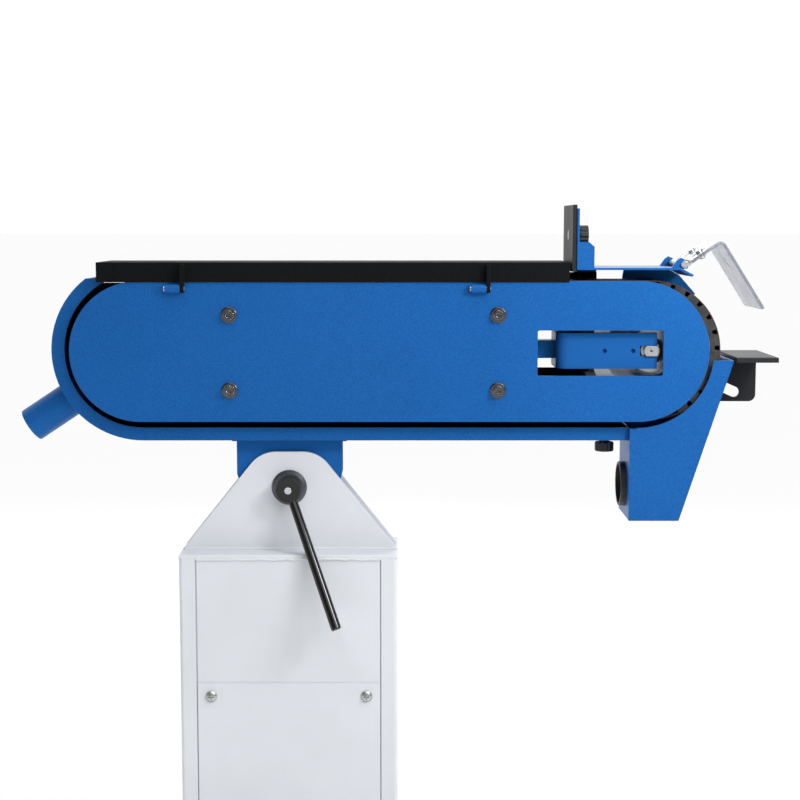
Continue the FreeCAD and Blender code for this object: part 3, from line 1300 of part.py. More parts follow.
def build_motor():
    start = FRAME_BACK_Y
    shield_depth = 14.0
    bore = 17.5
    seat_radius = 26.05
    spigot_radius = 65.0
    spigot_y = -S.frame_sheet + 0.5
    outline = [(bore, -10), (bore, 22), (60, 22), (60, shield_depth), (S.motor_flange_radius, shield_depth),
               (S.motor_flange_radius, 0), (spigot_radius, 0), (spigot_radius, spigot_y), (30, spigot_y),
               (26, -10)]
    front = turned("motor_front_blank", outline, (DRIVE_X, start, WHEEL_Z), "Y")
    holes = []
    for number, (x, z) in enumerate(motor_bolt_places()):
        holes.append(rod("motor_flange_hole_{}".format(number), 5.1, 30, (x, start - 5, z), "Y"))
    seat = rod("motor_front_seat", seat_radius, 15.2, (DRIVE_X, start + 6.9, WHEEL_Z), "Y")
    node(cut("motor_front_shield", front, holes + [seat]), "motor_front_shield")

    bolts = []
    for number, (x, z) in enumerate(motor_bolt_places()):
        bolts.append(hex_bolt("motor_bolt_{}".format(number), 5, 16, 5.6, 17.5, (x, FRAME_Y, z), "Y"))
    node(group("motor_bolts", bolts), "motor_bolts")

    body_start = start + shield_depth
    build_motor_housing(body_start)
    rear = body_start + S.motor_length
    back = turned("motor_rear_shield", [(bore, 0.1), (bore, 4), (30, 4), (30, 9), (S.motor_radius - 1, 9),
                                        (S.motor_radius - 1, 0), (60, 0), (60, -14), (seat_radius, -14),
                                        (seat_radius, 0.1)],
                  (DRIVE_X, rear, WHEEL_Z), "Y")
    node(back, "motor_rear_shield")
    build_rotor(start, body_start, rear)
    build_fan_cover(rear + 9)
    build_terminal_box(body_start)


def build_motor_housing(start):
    body = doc.addObject("PartDesign::Body", "housing_body")
    ring = body.newObject("PartDesign::Pad", "housing_ring")
    ring.Profile = circle_sketch(body, "housing_circles", "XZ",
                                 [(Size(0), Size(0), S.motor_radius),
                                  (Size(0), Size(0), S.motor_radius - 6)])
    bind(ring, "Length", S.motor_length)
    ring.Reversed = True
    fin = body.newObject("PartDesign::Pad", "housing_fin")
    fin.Profile = outline_sketch(body, "fin_outline", "XZ",
                                 [(-1.6, S.motor_radius - 1), (1.6, S.motor_radius - 1),
                                  (1.0, S.motor_radius + 12),
                                  (-1.0, S.motor_radius + 12)])
    bind(fin, "Length", S.motor_length)
    fin.Reversed = True
    body.Tip = fin
    doc.recompute()
    ring_pattern(body, "housing_fins", fin, fin.Profile[0], Size(32))
    doc.recompute()
    place(body, DRIVE_X, start, WHEEL_Z)
    pad_x = DRIVE_X + S.motor_radius - 6
    seat = box("terminal_seat", (pad_x + 2, start + 40, WHEEL_Z - 46),
               (pad_x + 30, start + 150, WHEEL_Z + 46))
    bore = rod("housing_bore", S.motor_radius - 6, S.motor_length, (DRIVE_X, start, WHEEL_Z), "Y")
    node(cut("motor_housing_cast", fuse("housing_with_seat", [body, seat]), [bore]), "motor_housing")


def build_rotor(start, body_start, rear):
    shaft_end = rear + 46
    first = BELT_Y - S.belt_width / 2 + 1
    journal = 15.0
    steps = [(0, first), (S.shaft_radius, first), (S.shaft_radius, start - 11), (journal, start - 11),
             (journal, start + 22.2), (19, start + 22.2), (19, rear - 14.2), (journal, rear - 14.2),
             (journal, rear + 6), (9, rear + 6), (9, shaft_end), (0, shaft_end)]
    outline = [(radius, y - first) for radius, y in steps]
    shaft = turned("shaft_blank", outline, (DRIVE_X, first, WHEEL_Z), "Y")
    keyway = box("shaft_keyway", (DRIVE_X - 4, first + 7, WHEEL_Z + S.shaft_radius - 4),
                 (DRIVE_X + 4, first + 54, WHEEL_Z + 30))
    tapped = rod("shaft_tapped_hole", 4, 24, (DRIVE_X, first - 1, WHEEL_Z), "Y")
    core_start = body_start + 60
    core = tube("rotor_core", 44, 44 - 19, 110, (DRIVE_X, core_start, WHEEL_Z), "Y")
    node(fuse("motor_rotor", [cut("motor_shaft", shaft, [keyway, tapped]), core]), "motor_rotor")
    stator = tube("stator_core", S.motor_radius - 6, S.motor_radius - 6 - 45, 110,
                  (DRIVE_X, core_start, WHEEL_Z), "Y")
    node(stator, "stator_core")
    coils = []
    for number, y in enumerate((core_start - 30, core_start + 110)):
        coils.append(tube("winding_{}".format(number), 68, 20, 30, (DRIVE_X, y, WHEEL_Z), "Y"))
    node(group("stator_windings", coils), "stator_windings")
    bearings = []
    for number, y in enumerate((start + 7, rear - 12)):
        inner = journal + S.running_gap
        outline = [(inner, 0), (18.5, 0), (18.5, 1), (22, 1), (22, 0), (26, 0), (26, 12), (22, 12),
                   (22, 11),
                   (18.5, 11), (18.5, 12), (inner, 12)]
        bearings.append(turned("motor_bearing_{}".format(number), outline, (DRIVE_X, y, WHEEL_Z), "Y"))
    node(group("motor_bearings", bearings), "motor_bearings")
    build_fan(rear + 16)


def build_fan(start):
    """Cooling fan: a hub, a disc and straight radial blades."""
    body = doc.addObject("PartDesign::Body", "cooling_fan")
    disc = body.newObject("PartDesign::Pad", "fan_disc")
    disc.Profile = circle_sketch(body, "fan_circles", "XZ",
                                 [(Size(0), Size(0), Size(66)), (Size(0), Size(0), Size(9))])
    disc.Length = 3
    disc.Reversed = True
    hub = body.newObject("PartDesign::Pad", "fan_hub")
    hub.Profile = circle_sketch(body, "fan_hub_circles", "XZ",
                                [(Size(0), Size(0), Size(16)), (Size(0), Size(0), Size(9))])
    hub.Length = 24
    hub.Reversed = True
    blade = body.newObject("PartDesign::Pad", "fan_blade")
    blade.Profile = outline_sketch(body, "blade_outline", "XZ", [(15, -1), (65, -1), (65, 1), (15, 1)])
    blade.Length = 22
    blade.Reversed = True
    body.Tip = blade
    doc.recompute()
    ring_pattern(body, "fan_blades", blade, blade.Profile[0], Size(8))
    node(place(body, DRIVE_X, start, WHEEL_Z), "cooling_fan")


def build_fan_cover(start):
    radius = S.motor_radius + 12
    lap = 20.0
    depth = 58.0
    outline = [(radius + 0.3, -lap), (radius + 1.8, -lap), (radius + 1.8, depth - 10),
               (radius - 8.2, depth), (0, depth),
               (0, depth - 1.5), (radius - 9, depth - 1.5), (radius + 0.3, depth - 10.6)]
    cap = turned("fan_cover_cap", outline, (DRIVE_X, start, WHEEL_Z), "Y")
    slits = []
    for number in range(-4, 5):
        z = WHEEL_Z + number * 14
        half = math.sqrt(62 ** 2 - (number * 14) ** 2)
        slits.append(box("fan_slit_{}".format(number + 4), (DRIVE_X - half, start + depth - 5, z - 3),
                         (DRIVE_X + half, start + depth + 5, z + 3)))
    node(cut("fan_cover", cap, slits), "fan_cover")


def build_terminal_box(body_start):
    """Switch and terminal box on the motor's side, with a start and a stop button on its lid."""
    left = DRIVE_X + S.motor_radius - 6 + 30
    near = body_start + 42
    far = body_start + 148
    low = WHEEL_Z - 44
    top = WHEEL_Z + 44
    depth = 46.0
    lid_x = left + depth
    outer = box("terminal_outer", (left, near, low), (lid_x, far, top))
    outer = rounded("terminal_rounded", outer, 5,
                    lambda edge: abs(edge.Vertexes[0].Point.x - edge.Vertexes[-1].Point.x) > 1)
    hollow = box("terminal_hollow", (left + 3, near + 3, low + 3), (lid_x + 1, far - 3, top - 3))
    gland_z = low
    gland_at = (left + 22, (near + far) / 2, gland_z)
    gland_hole = rod("gland_hole", 8.2, 10, (gland_at[0], gland_at[1], gland_z - 5))
    node(cut("terminal_box", outer, [hollow, gland_hole]), "terminal_box")

    lid = box("lid_outer", (lid_x, near, low), (lid_x + 5, far, top))
    lid = rounded("lid_rounded", lid, 5,
                  lambda edge: abs(edge.Vertexes[0].Point.x - edge.Vertexes[-1].Point.x) > 1)
    middle_y = (near + far) / 2
    holes, guides = [], []
    buttons = (("start_button", WHEEL_Z + 19, 7.0), ("stop_button", WHEEL_Z - 19, 9.5))
    for name, z, proud in buttons:
        holes.append(rod(name + "_hole", 11.3, 10, (lid_x - 1, middle_y, z), "X"))
        cap = rod(name + "_cap", 11, 5 + proud, (lid_x, middle_y, z), "X")
        cap = rounded(name + "_soft_cap", cap, 1.5, lambda edge: len(edge.Vertexes) == 1
                      and edge.Vertexes[0].Point.x > lid_x + 6)
        skirt = rod(name + "_skirt", 13, 2, (lid_x - 2.2, middle_y, z), "X")
        neck = rod(name + "_neck", 11, 2.4, (lid_x - 2.2, middle_y, z), "X")
        node(fuse(name, [cap, skirt, neck]), name)
        guide = tube("switch_collar_{}".format(name), 15, 3.7, 3, (lid_x + 5, middle_y, z), "X")
        guides.append(guide)
    node(cut("terminal_lid", fuse("lid_with_collars", [lid] + guides), holes), "terminal_lid")
    collar = hexagon("gland_hexagon", 20, 7, gland_at, "-Z")
    dome = turned("gland_dome", [(6, 0), (9.5, 0), (9.5, 6), (7.5, 11), (6, 11)],
                  (gland_at[0], gland_at[1], gland_z - 7), "-Z")
    thread = rod("gland_thread", 8, 8, (gland_at[0], gland_at[1], gland_z))
    bore = rod("gland_bore", 6, 40, (gland_at[0], gland_at[1], gland_z - 30))
    node(cut("cable_gland", fuse("gland_blank", [collar, dome, thread]), [bore]), "cable_gland")


# ---------------------------------------------------------------- assembly

BUILDERS = (
    build_base_plate, build_column, build_service_cover, build_column_head, build_pivot_bolt,
    build_clamp_lever, build_pivot_bracket, build_frame_plate, build_belt_shell, build_extraction_pipe,
    build_front_cover, build_cover_fasteners, build_hinge_pins, build_top_guard, build_belt, build_platen,
    build_drive_wheel, build_contact_wheel, build_wheel_axle, build_tension_fork, build_stem_guide,
    build_tension_spring, build_spark_chute, build_chute_knob, build_wheel_guard, build_guard_side_plate,
    build_work_stop, build_shield, build_work_table, build_motor,
)

for build in BUILDERS:
    build()
doc.recompute()

for thing in doc.Objects:
    if "Invalid" in thing.State or "Error" in thing.State:
        raise RuntimeError("{} ({}) failed: {}".format(thing.Name, thing.Label, thing.State))
for part in NODES:
    if part.Shape.isNull() or not part.Shape.isValid() or not part.Shape.Solids:
        raise RuntimeError(part.Label + " has no valid solid")

os.makedirs("parts", exist_ok=True)
for part in NODES:
    part.Shape.exportStep(os.path.join("parts", part.Label + ".step"))
    print("{:24s} {:2d} solid(s) {:12.1f} mm3".format(part.Label, len(part.Shape.Solids),
                                                      part.Shape.Volume))
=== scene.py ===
import json
import math
import random

import bmesh
import bpy
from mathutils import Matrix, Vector


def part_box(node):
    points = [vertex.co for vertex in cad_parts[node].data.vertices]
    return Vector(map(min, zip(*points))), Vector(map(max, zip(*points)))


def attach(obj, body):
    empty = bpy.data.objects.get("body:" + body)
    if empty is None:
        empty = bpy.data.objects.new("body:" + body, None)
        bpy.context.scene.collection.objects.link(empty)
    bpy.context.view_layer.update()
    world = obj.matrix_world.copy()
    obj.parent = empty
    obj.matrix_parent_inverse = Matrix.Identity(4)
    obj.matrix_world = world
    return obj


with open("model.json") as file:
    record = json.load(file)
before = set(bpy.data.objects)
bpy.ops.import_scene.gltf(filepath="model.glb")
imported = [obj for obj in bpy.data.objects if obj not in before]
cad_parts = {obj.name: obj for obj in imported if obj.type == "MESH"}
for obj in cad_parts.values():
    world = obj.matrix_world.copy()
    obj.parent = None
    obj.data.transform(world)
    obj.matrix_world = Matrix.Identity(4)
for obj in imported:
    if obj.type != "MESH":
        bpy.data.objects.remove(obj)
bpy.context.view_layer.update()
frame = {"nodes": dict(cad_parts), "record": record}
random.seed(7)

MM = 0.001

# How noise is stretched to run along the Y axis, and to run round it.
ALONG_Y = (1.0, 0.1, 1.0)
ROUND_Y = (0.15, 1.0, 0.15)


# ---------------------------------------------------------------- material building

class Shader:
    """A Principled material under construction, with its object coordinates at hand."""

    def __init__(self, name):
        self.material = bpy.data.materials.new(name)
        self.material.use_nodes = True
        self.tree = self.material.node_tree
        self.surface = self.tree.nodes["Principled BSDF"]
        self.place = self.node("ShaderNodeTexCoord").outputs["Object"]

    def node(self, kind, **settings):
        made = self.tree.nodes.new(kind)
        for key, value in settings.items():
            setattr(made, key, value)
        return made

    def link(self, start, end):
        self.tree.links.new(start, end)

    def stretched(self, scale):
        mapping = self.node("ShaderNodeMapping")
        mapping.inputs["Scale"].default_value = scale
        self.link(self.place, mapping.inputs["Vector"])
        return mapping.outputs["Vector"]

    def noise(self, scale, detail=3.0, rough=0.55, stretch=None):
        """Cloudy noise; a stretch below 1 draws it out along that axis."""
        texture = self.node("ShaderNodeTexNoise")
        texture.inputs["Scale"].default_value = scale
        texture.inputs["Detail"].default_value = detail
        texture.inputs["Roughness"].default_value = rough
        self.link(self.stretched(stretch) if stretch else self.place, texture.inputs["Vector"])
        return texture.outputs["Fac"]

    def cells(self, scale):
        """Distance to the nearest of many scattered grains."""
        texture = self.node("ShaderNodeTexVoronoi")
        texture.inputs["Scale"].default_value = scale
        self.link(self.place, texture.inputs["Vector"])
        return texture.outputs["Distance"]

    def bands(self, scale, distortion=0.0):
        """Waves one after another along Y."""
        texture = self.node("ShaderNodeTexWave", wave_type="BANDS", bands_direction="Y")
        texture.inputs["Scale"].default_value = scale
        texture.inputs["Distortion"].default_value = distortion
        self.link(self.place, texture.inputs["Vector"])
        return texture.outputs["Fac"]

    def vector_maths(self, operation, first, second=None, output="Vector"):
        """A vector operation on a socket and, for some, a second socket or fixed vector."""
        made = self.node("ShaderNodeVectorMath", operation=operation)
        self.link(first, made.inputs[0])
        if isinstance(second, bpy.types.NodeSocket):
            self.link(second, made.inputs[1])
        elif second is not None:
            made.inputs[1].default_value = second
        return made.outputs[output]

    def ramp(self, value, low=0.3, high=0.7, start=0.0, end=1.0):
        """Value from low..high, a noise's usual span, stretched to start..end and clamped."""
        stretch = self.node("ShaderNodeMapRange")
        for key, number in (("From Min", low), ("From Max", high), ("To Min", start), ("To Max", end)):
            stretch.inputs[key].default_value = number
        self.link(value, stretch.inputs["Value"])
        return stretch.outputs["Result"]

    def mix(self, factor, first, second):
        blend = self.node("ShaderNodeMix", data_type="RGBA")
        colour_inputs = blend.inputs[6:8]
        colour_output = blend.outputs[2]
        self.link(factor, blend.inputs["Factor"])
        for socket, colour in zip(colour_inputs, (first, second)):
            if isinstance(colour, tuple):
                socket.default_value = (*colour, 1.0)
            else:
                self.link(colour, socket)
        return colour_output

    def edge(self, radius):
        """A soft-edged normal, and how near a point is to an outer or inner edge."""
        least_agreement = 0.75
        bevel = self.node("ShaderNodeBevel", samples=4)
        bevel.inputs["Radius"].default_value = radius
        soft = bevel.outputs["Normal"]
        own = self.node("ShaderNodeNewGeometry").outputs["Normal"]
        agreement = self.vector_maths("DOT_PRODUCT", soft, own, output="Value")
        return soft, self.ramp(agreement, 1.0, least_agreement)

    def relief(self, heights, normal=None):
        """Stack bumps, each a (height, depth in metres, strength)."""
        for height, depth, strength in heights:
            bump = self.node("ShaderNodeBump")
            bump.inputs["Distance"].default_value = depth
            bump.inputs["Strength"].default_value = strength
            self.link(height, bump.inputs["Height"])
            if normal is not None:
                self.link(normal, bump.inputs["Normal"])
            normal = bump.outputs["Normal"]
        self.link(normal, self.surface.inputs["Normal"])

    def value(self, name, number):
        self.surface.inputs[name].default_value = number

    def drive(self, name, socket):
        self.link(socket, self.surface.inputs[name])


def srgb(red, green, blue):
    """Linear colour of an 8-bit display colour."""
    def linear(level):
        level = level / 255
        return level / 12.92 if level <= 0.04045 else ((level + 0.055) / 1.055) ** 2.4
    return linear(red), linear(green), linear(blue)


def scaled(colour, factor):
    return tuple(min(1.0, level * factor) for level in colour)


def towards(colour, goal, share):
    """A colour moved a share of the way towards a grey level."""
    return tuple(level + share * (goal - level) for level in colour)


def powder_coat(name, colour, roughness, grain, edge_radius=0.9 * MM, wear=0.18, speckle=0.1, gloss=0.5,
                tint=(1.0, 1.0, 1.0), flake=None):
    """Baked paint: fine pebbled skin, faint cloudiness, slightly polished edges."""
    cloudiness = 0.06
    skin_depth = 0.06 * MM
    darker, lighter = scaled(colour, 1 - cloudiness), scaled(colour, 1 + cloudiness)
    fleck = flake or towards(colour, 1.0, 0.3)
    polished = towards(colour, 0.8, wear)
    shader = Shader(name)
    clouds = shader.noise(5.0, detail=4.0)
    pebble = shader.noise(1100.0, detail=2.0)
    waves = shader.noise(140.0, detail=2.0)
    normal, edge = shader.edge(edge_radius)
    cloudy = shader.mix(shader.ramp(clouds), darker, lighter)
    speckled = shader.mix(shader.ramp(pebble, 0.35, 0.7, end=speckle), cloudy, fleck)
    worn = shader.mix(shader.ramp(edge, 0.2, 1.0, end=0.55), speckled, polished)
    shader.drive("Base Color", worn)
    shader.drive("Roughness", shader.ramp(clouds, start=roughness - 0.04, end=roughness + 0.05))
    shader.value("Specular IOR Level", gloss)
    shader.value("Specular Tint", (*tint, 1.0))
    shader.relief([(waves, skin_depth, 0.25), (pebble, skin_depth, grain)], normal)
    return shader.material


def metal(name, colour, roughness, stretch=None, scratch=0.25, edge_radius=0.5 * MM, rim=1.25):
    """Bare metal with fine streaks, faint stains and edges rubbed bright."""
    shader = Shader(name)
    streaks = shader.noise(420.0, detail=4.0, rough=0.6, stretch=stretch)
    stains = shader.noise(38.0, detail=5.0, rough=0.6)
    normal, edge = shader.edge(edge_radius)
    stained = shader.mix(shader.ramp(stains, 0.35, 0.75), colour, scaled(colour, 0.78))
    rubbed = shader.mix(shader.ramp(edge, 0.2, 1.0, end=0.6), stained, scaled(colour, rim))
    shader.drive("Base Color", rubbed)
    shader.value("Metallic", 1.0)
    shader.drive("Roughness", shader.ramp(streaks, start=roughness - 0.06, end=roughness + 0.1))
    shader.relief([(streaks, 0.03 * MM, scratch)], normal)
    return shader.material


def plastic(name, colour, roughness, grain, gloss=0.5):
    """Moulded plastic with a fine spark-eroded skin."""
    shader = Shader(name)
    skin = shader.noise(1500.0, detail=2.0)
    handling = shader.noise(45.0, detail=4.0)
    normal, edge = shader.edge(0.6 * MM)
    handled = shader.mix(shader.ramp(handling), colour, scaled(colour, 1.3))
    rubbed = shader.mix(shader.ramp(edge, 0.3, 1.0, end=0.3), handled, scaled(colour, 2.0))
    shader.drive("Base Color", rubbed)
    shader.drive("Roughness", shader.ramp(handling, start=roughness - 0.05, end=roughness + 0.08))
    shader.value("Specular IOR Level", gloss)
    shader.relief([(skin, 0.05 * MM, grain)], normal)
    return shader.material


def ground_rubber(name):
    """Tyre rubber ground true: fine tooling lines round it and grey grinding dust."""
    shader = Shader(name)
    lines = shader.noise(900.0, rough=0.6, stretch=(0.2, 1.0, 0.2))
    dust = shader.noise(60.0, detail=5.0, rough=0.65)
    normal, _ = shader.edge(0.8 * MM)
    rubber, dusty = srgb(30, 31, 32), srgb(70, 70, 69)
    shader.drive("Base Color", shader.mix(shader.ramp(dust, 0.45, 0.8), rubber, dusty))
    shader.drive("Roughness", shader.ramp(dust, 0.3, 0.8, 0.62, 0.85))
    shader.relief([(lines, 0.08 * MM, 0.5)], normal)
    return shader.material


def abrasive_cloth(name):
    """Brown abrasive grit in resin, a little glazed and streaked along the belt, with painted shade
    between the grains.
    """
    resin, painted_shade_between_grains = srgb(104, 66, 48), srgb(58, 36, 28)
    clumped, glazed = srgb(38, 27, 23), srgb(88, 78, 70)
    shader = Shader(name)
    grit = shader.cells(2600.0)
    clumps = shader.noise(300.0, detail=4.0, rough=0.7)
    streaks = shader.noise(55.0, rough=0.6, stretch=ROUND_Y)
    # Away from each grain's centre the resin is painted darker: painted shade between the grains.
    tone = shader.mix(shader.ramp(grit, 0.1, 0.7), resin, painted_shade_between_grains)
    tone = shader.mix(shader.ramp(clumps, 0.5, 0.75, end=0.6), tone, clumped)
    tone = shader.mix(shader.ramp(streaks, 0.5, 0.8, end=0.5), tone, glazed)
    shader.drive("Base Color", tone)
    shader.drive("Roughness", shader.ramp(clumps, start=0.55, end=0.8))
    shader.relief([(grit, 0.2 * MM, 0.7), (clumps, 0.15 * MM, 0.4)])
    return shader.material


def clear_sheet(name):
    """Polycarbonate with handling haze, fine scratches and painted shade along its edges."""
    polycarbonate_ior = 1.49
    shader = Shader(name)
    haze = shader.noise(30.0, detail=5.0, rough=0.6)
    scratches = shader.noise(500.0, detail=5.0, rough=0.7, stretch=(1.0, 0.08, 1.0))
    normal, edge = shader.edge(0.9 * MM)
    # The edges are painted darker: painted shade standing in for the grey outline a clear sheet's edges
    # show.
    shader.drive("Base Color", shader.mix(edge, srgb(186, 190, 203), srgb(140, 150, 168)))
    shader.value("Transmission Weight", 0.85)
    shader.value("IOR", polycarbonate_ior)
    shader.drive("Roughness", shader.ramp(haze, 0.3, 0.75, 0.14, 0.3))
    shader.relief([(scratches, 0.01 * MM, 0.08)], normal)
    return shader.material


def wound_copper(name):
    """Enamelled wire laid in turns round the motor's axis."""
    shader = Shader(name)
    turns = shader.bands(300.0, distortion=1.5)
    shader.drive("Base Color", shader.mix(turns, srgb(96, 48, 26), srgb(184, 104, 58)))
    shader.value("Metallic", 0.8)
    shader.value("Roughness", 0.35)
    shader.relief([(turns, 0.4 * MM, 0.8)])
    return shader.material


def laminated_steel(name):
    """Thin sheets stacked along the motor's axis."""
    shader = Shader(name)
    sheets = shader.bands(320.0)
    stains = shader.noise(50.0, detail=4.0)
    shader.drive("Base Color", shader.mix(shader.ramp(stains), srgb(120, 122, 124), srgb(86, 84, 82)))
    shader.value("Metallic", 0.9)
    shader.value("Roughness", 0.42)
    shader.relief([(sheets, 0.2 * MM, 0.5)])
    return shader.material


def sealed_bearing(name, centre, seal_inner, seal_outer):
    """Ground rings with a black rubber seal between them, round an axis along Y."""
    shader = Shader(name)
    fade = 0.2 * MM
    offset = shader.vector_maths("SUBTRACT", shader.place, centre)
    across_axis = shader.vector_maths("MULTIPLY", offset, (1.0, 0.0, 1.0))
    radius = shader.vector_maths("LENGTH", across_axis, output="Value")
    product = shader.node("ShaderNodeMath", operation="MULTIPLY")
    shader.link(shader.ramp(radius, seal_inner - fade, seal_inner), product.inputs[0])
    shader.link(shader.ramp(radius, seal_outer, seal_outer + fade, 1.0, 0.0), product.inputs[1])
    seal = product.outputs["Value"]
    shader.drive("Base Color", shader.mix(seal, srgb(190, 191, 192), srgb(18, 18, 19)))
    shader.drive("Metallic", shader.ramp(seal, 0.0, 1.0, 1.0, 0.0))
    shader.drive("Roughness", shader.ramp(seal, 0.0, 1.0, 0.25, 0.6))
    shader.relief([(shader.noise(700.0), 0.03 * MM, 0.2)])
    return shader.material


# ---------------------------------------------------------------- the materials

MATERIALS = {
    "blue_paint": powder_coat("blue_powder_coat", srgb(28, 70, 138), 0.36, 0.5, wear=0.08, speckle=0.3,
                              tint=srgb(60, 190, 255), flake=srgb(30, 140, 215)),
    "black_guard": powder_coat("black_powder_coat", srgb(15, 16, 17), 0.5, 0.3, wear=0.05, speckle=0.02,
                               gloss=0.01),
    "stand_paint": powder_coat("light_grey_powder_coat", srgb(207, 210, 215), 0.46, 0.4,
                               edge_radius=1.2 * MM, wear=0.35),
    # The inner frame plate's black paint is partly its own colour and partly painted shade for the dark
    # inside of the head.
    "frame_black": powder_coat("black_paint_and_painted_shade", srgb(13, 13, 14), 0.55, 0.3, wear=0.04, speckle=0.02,
                               gloss=0.1),
    "dark_steel": powder_coat("satin_blackened_steel", srgb(34, 35, 38), 0.42, 0.3, wear=0.12,
                              speckle=0.04, gloss=0.08),
    "motor_paint": powder_coat("motor_grey_paint", srgb(78, 82, 86), 0.48, 0.7, edge_radius=0.8 * MM,
                               wear=0.12),
    "zinc_steel": metal("zinc_plate", srgb(186, 188, 186), 0.32, scratch=0.2),
    "chrome": metal("chrome_plate", srgb(212, 214, 216), 0.14, scratch=0.08),
    "cast_aluminium": metal("turned_aluminium", srgb(206, 208, 211), 0.36, stretch=ALONG_Y, scratch=0.3),
    "bright_steel": metal("ground_steel", srgb(188, 189, 190), 0.28, stretch=ROUND_Y),
    "black_gloss": plastic("black_gloss_plastic", srgb(13, 13, 14), 0.12, 0.06, gloss=0.45),
    "black_plastic": plastic("black_moulded_plastic", srgb(25, 25, 26), 0.5, 0.4),
    "box_grey": plastic("grey_box_plastic", srgb(58, 60, 63), 0.48, 0.5),
    "start_green": plastic("green_button_plastic", srgb(24, 132, 62), 0.28, 0.1),
    "stop_red": plastic("red_button_plastic", srgb(188, 26, 26), 0.28, 0.1),
    "clear_sheet": clear_sheet("clear_polycarbonate"),
    "tread_rubber": ground_rubber("ground_tyre_rubber"),
    "copper_winding": wound_copper("enamelled_copper"),
    "abrasive": abrasive_cloth("brown_abrasive_cloth"),
}
NODE_SLOTS = {entry["node"]: entry["material_slot"] for entry in frame["record"]["subparts"]}


def special_materials():
    """Materials of the nodes that look different from the rest of their slot."""
    seal_inner, seal_outer = 13 * MM, 19 * MM
    low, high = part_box("wheel_bearings")
    return {
        "stator_core": laminated_steel("laminated_core_steel"),
        "cover_screws": metal("burnished_fasteners", srgb(88, 90, 93), 0.2, scratch=0.15,
                              edge_radius=1.0 * MM, rim=8.0),
        "clamp_washer": metal("grey_cone_washer", srgb(104, 106, 110), 0.42, scratch=0.3),
        "wheel_bearings": sealed_bearing("sealed_bearing", (low + high) / 2, seal_inner, seal_outer),
    }


def dress_nodes():
    """Give every CAD node the procedural material of its slot, or its own."""
    special = special_materials()
    for name, piece in frame["nodes"].items():
        chosen = special.get(name) or MATERIALS[NODE_SLOTS[name]]
        piece.data.materials.clear()
        piece.data.materials.append(chosen)


# ---------------------------------------------------------------- small pieces

def finished(mesh_data, name, slot, body):
    """Turn a bmesh into a smooth piece with its slot's material, riding on a body."""
    bmesh.ops.recalc_face_normals(mesh_data, faces=mesh_data.faces)
    data = bpy.data.meshes.new(name)
    mesh_data.to_mesh(data)
    mesh_data.free()
    for polygon in data.polygons:
        polygon.use_smooth = True
    data.materials.append(MATERIALS[slot])
    piece = bpy.data.objects.new(name, data)
    bpy.context.scene.collection.objects.link(piece)
    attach(piece, body)


def along(points, step):
    """Evenly spaced points of a polyline, its ends kept."""
    made = [points[0]]
    for start, end in zip(points, points[1:]):
        count = max(1, round((end - start).length / step))
        made += [start.lerp(end, number / count) for number in range(1, count + 1)]
    return made


def circle(centre, side, up, radius, count):
    """Evenly spaced points round a circle, from side towards up."""
    turns = [2 * math.pi * number / count for number in range(count)]
    return [centre + (side * math.cos(turn) + up * math.sin(turn)) * radius for turn in turns]


def join_rings(mesh_data, first, second):
    """A band of faces between two rings with as many vertices each."""
    for number in range(len(first)):
        following = (number + 1) % len(first)
        mesh_data.faces.new((first[number], first[following], second[following], second[number]))


def add_bead(mesh_data, points, radius, closed=False):
    """A weld bead: a rounded tube whose size rises and falls with each puddle.

    It shrinks to a share of its size between puddles, a little by chance, and at its ends.
    """
    sides = 10
    puddle = 2.4 * MM
    step = 0.6 * MM
    between_puddles = 0.78
    by_chance = 0.95
    at_ends = 0.35
    line = points if closed else along(points, step)
    last = len(line) - 1
    rings = []
    travelled = 0.0
    for number, point in enumerate(line):
        before = line[number - 1] if closed else line[max(number - 1, 0)]
        after = line[(number + 1) % len(line)] if closed else line[min(number + 1, last)]
        ahead = (after - before).normalized()
        side = ahead.orthogonal().normalized()
        travelled += (after - before).length / 2
        swell = abs(math.sin(math.pi * travelled / puddle))
        share = between_puddles + (1 - between_puddles) * swell
        size = radius * share * random.uniform(by_chance, 1.0)
        if not closed and number in (0, last):
            size *= at_ends
        ring = circle(point, side, ahead.cross(side), size, sides)
        rings.append([mesh_data.verts.new(place) for place in ring])
    for first, second in zip(rings, rings[1:]):
        join_rings(mesh_data, first, second)
    if closed:
        join_rings(mesh_data, rings[-1], rings[0])
    else:
        mesh_data.faces.new(list(reversed(rings[0])))
        mesh_data.faces.new(rings[-1])


def weld(name, lines, radius, slot, body):
    """Painted weld beads along several lines, as one piece."""
    mesh_data = bmesh.new()
    for line in lines:
        add_bead(mesh_data, [Vector(point) for point in line], radius)
    finished(mesh_data, name, slot, body)


def add_screw_head(mesh_data, centre, axis, radius, height):
    """A domed screw head with a cross recess pressed into it.

    Its profile is part of an ellipse, whose squared height falls by a share at the rim.
    """
    rings = 9
    sectors = 48
    rim_fall = 0.92
    recess_half = 0.14 * radius
    recess_reach = 0.62 * radius
    recess_depth = 0.5 * height
    side = axis.orthogonal().normalized()
    up = axis.cross(side)

    def vertex(share, turn):
        across = radius * share * math.cos(turn)
        over = radius * share * math.sin(turn)
        lift = height * math.sqrt(1.0 - rim_fall * share ** 2)
        narrow, wide = sorted((abs(across), abs(over)))
        if narrow < recess_half and wide < recess_reach:
            lift -= recess_depth
        return mesh_data.verts.new(centre + side * across + up * over + axis * lift)

    middle = vertex(0.0, 0.0)
    layers = [[vertex(ring / rings, 2 * math.pi * sector / sectors) for sector in range(sectors)]
              for ring in range(1, rings + 1)]
    foot = [mesh_data.verts.new(point) for point in circle(centre, side, up, radius, sectors)]
    layers.append(foot)
    for sector in range(sectors):
        mesh_data.faces.new((middle, layers[0][sector], layers[0][(sector + 1) % sectors]))
    for inner, outer in zip(layers, layers[1:]):
        join_rings(mesh_data, inner, outer)
    mesh_data.faces.new(list(reversed(foot)))


# ---------------------------------------------------------------- welds and screws

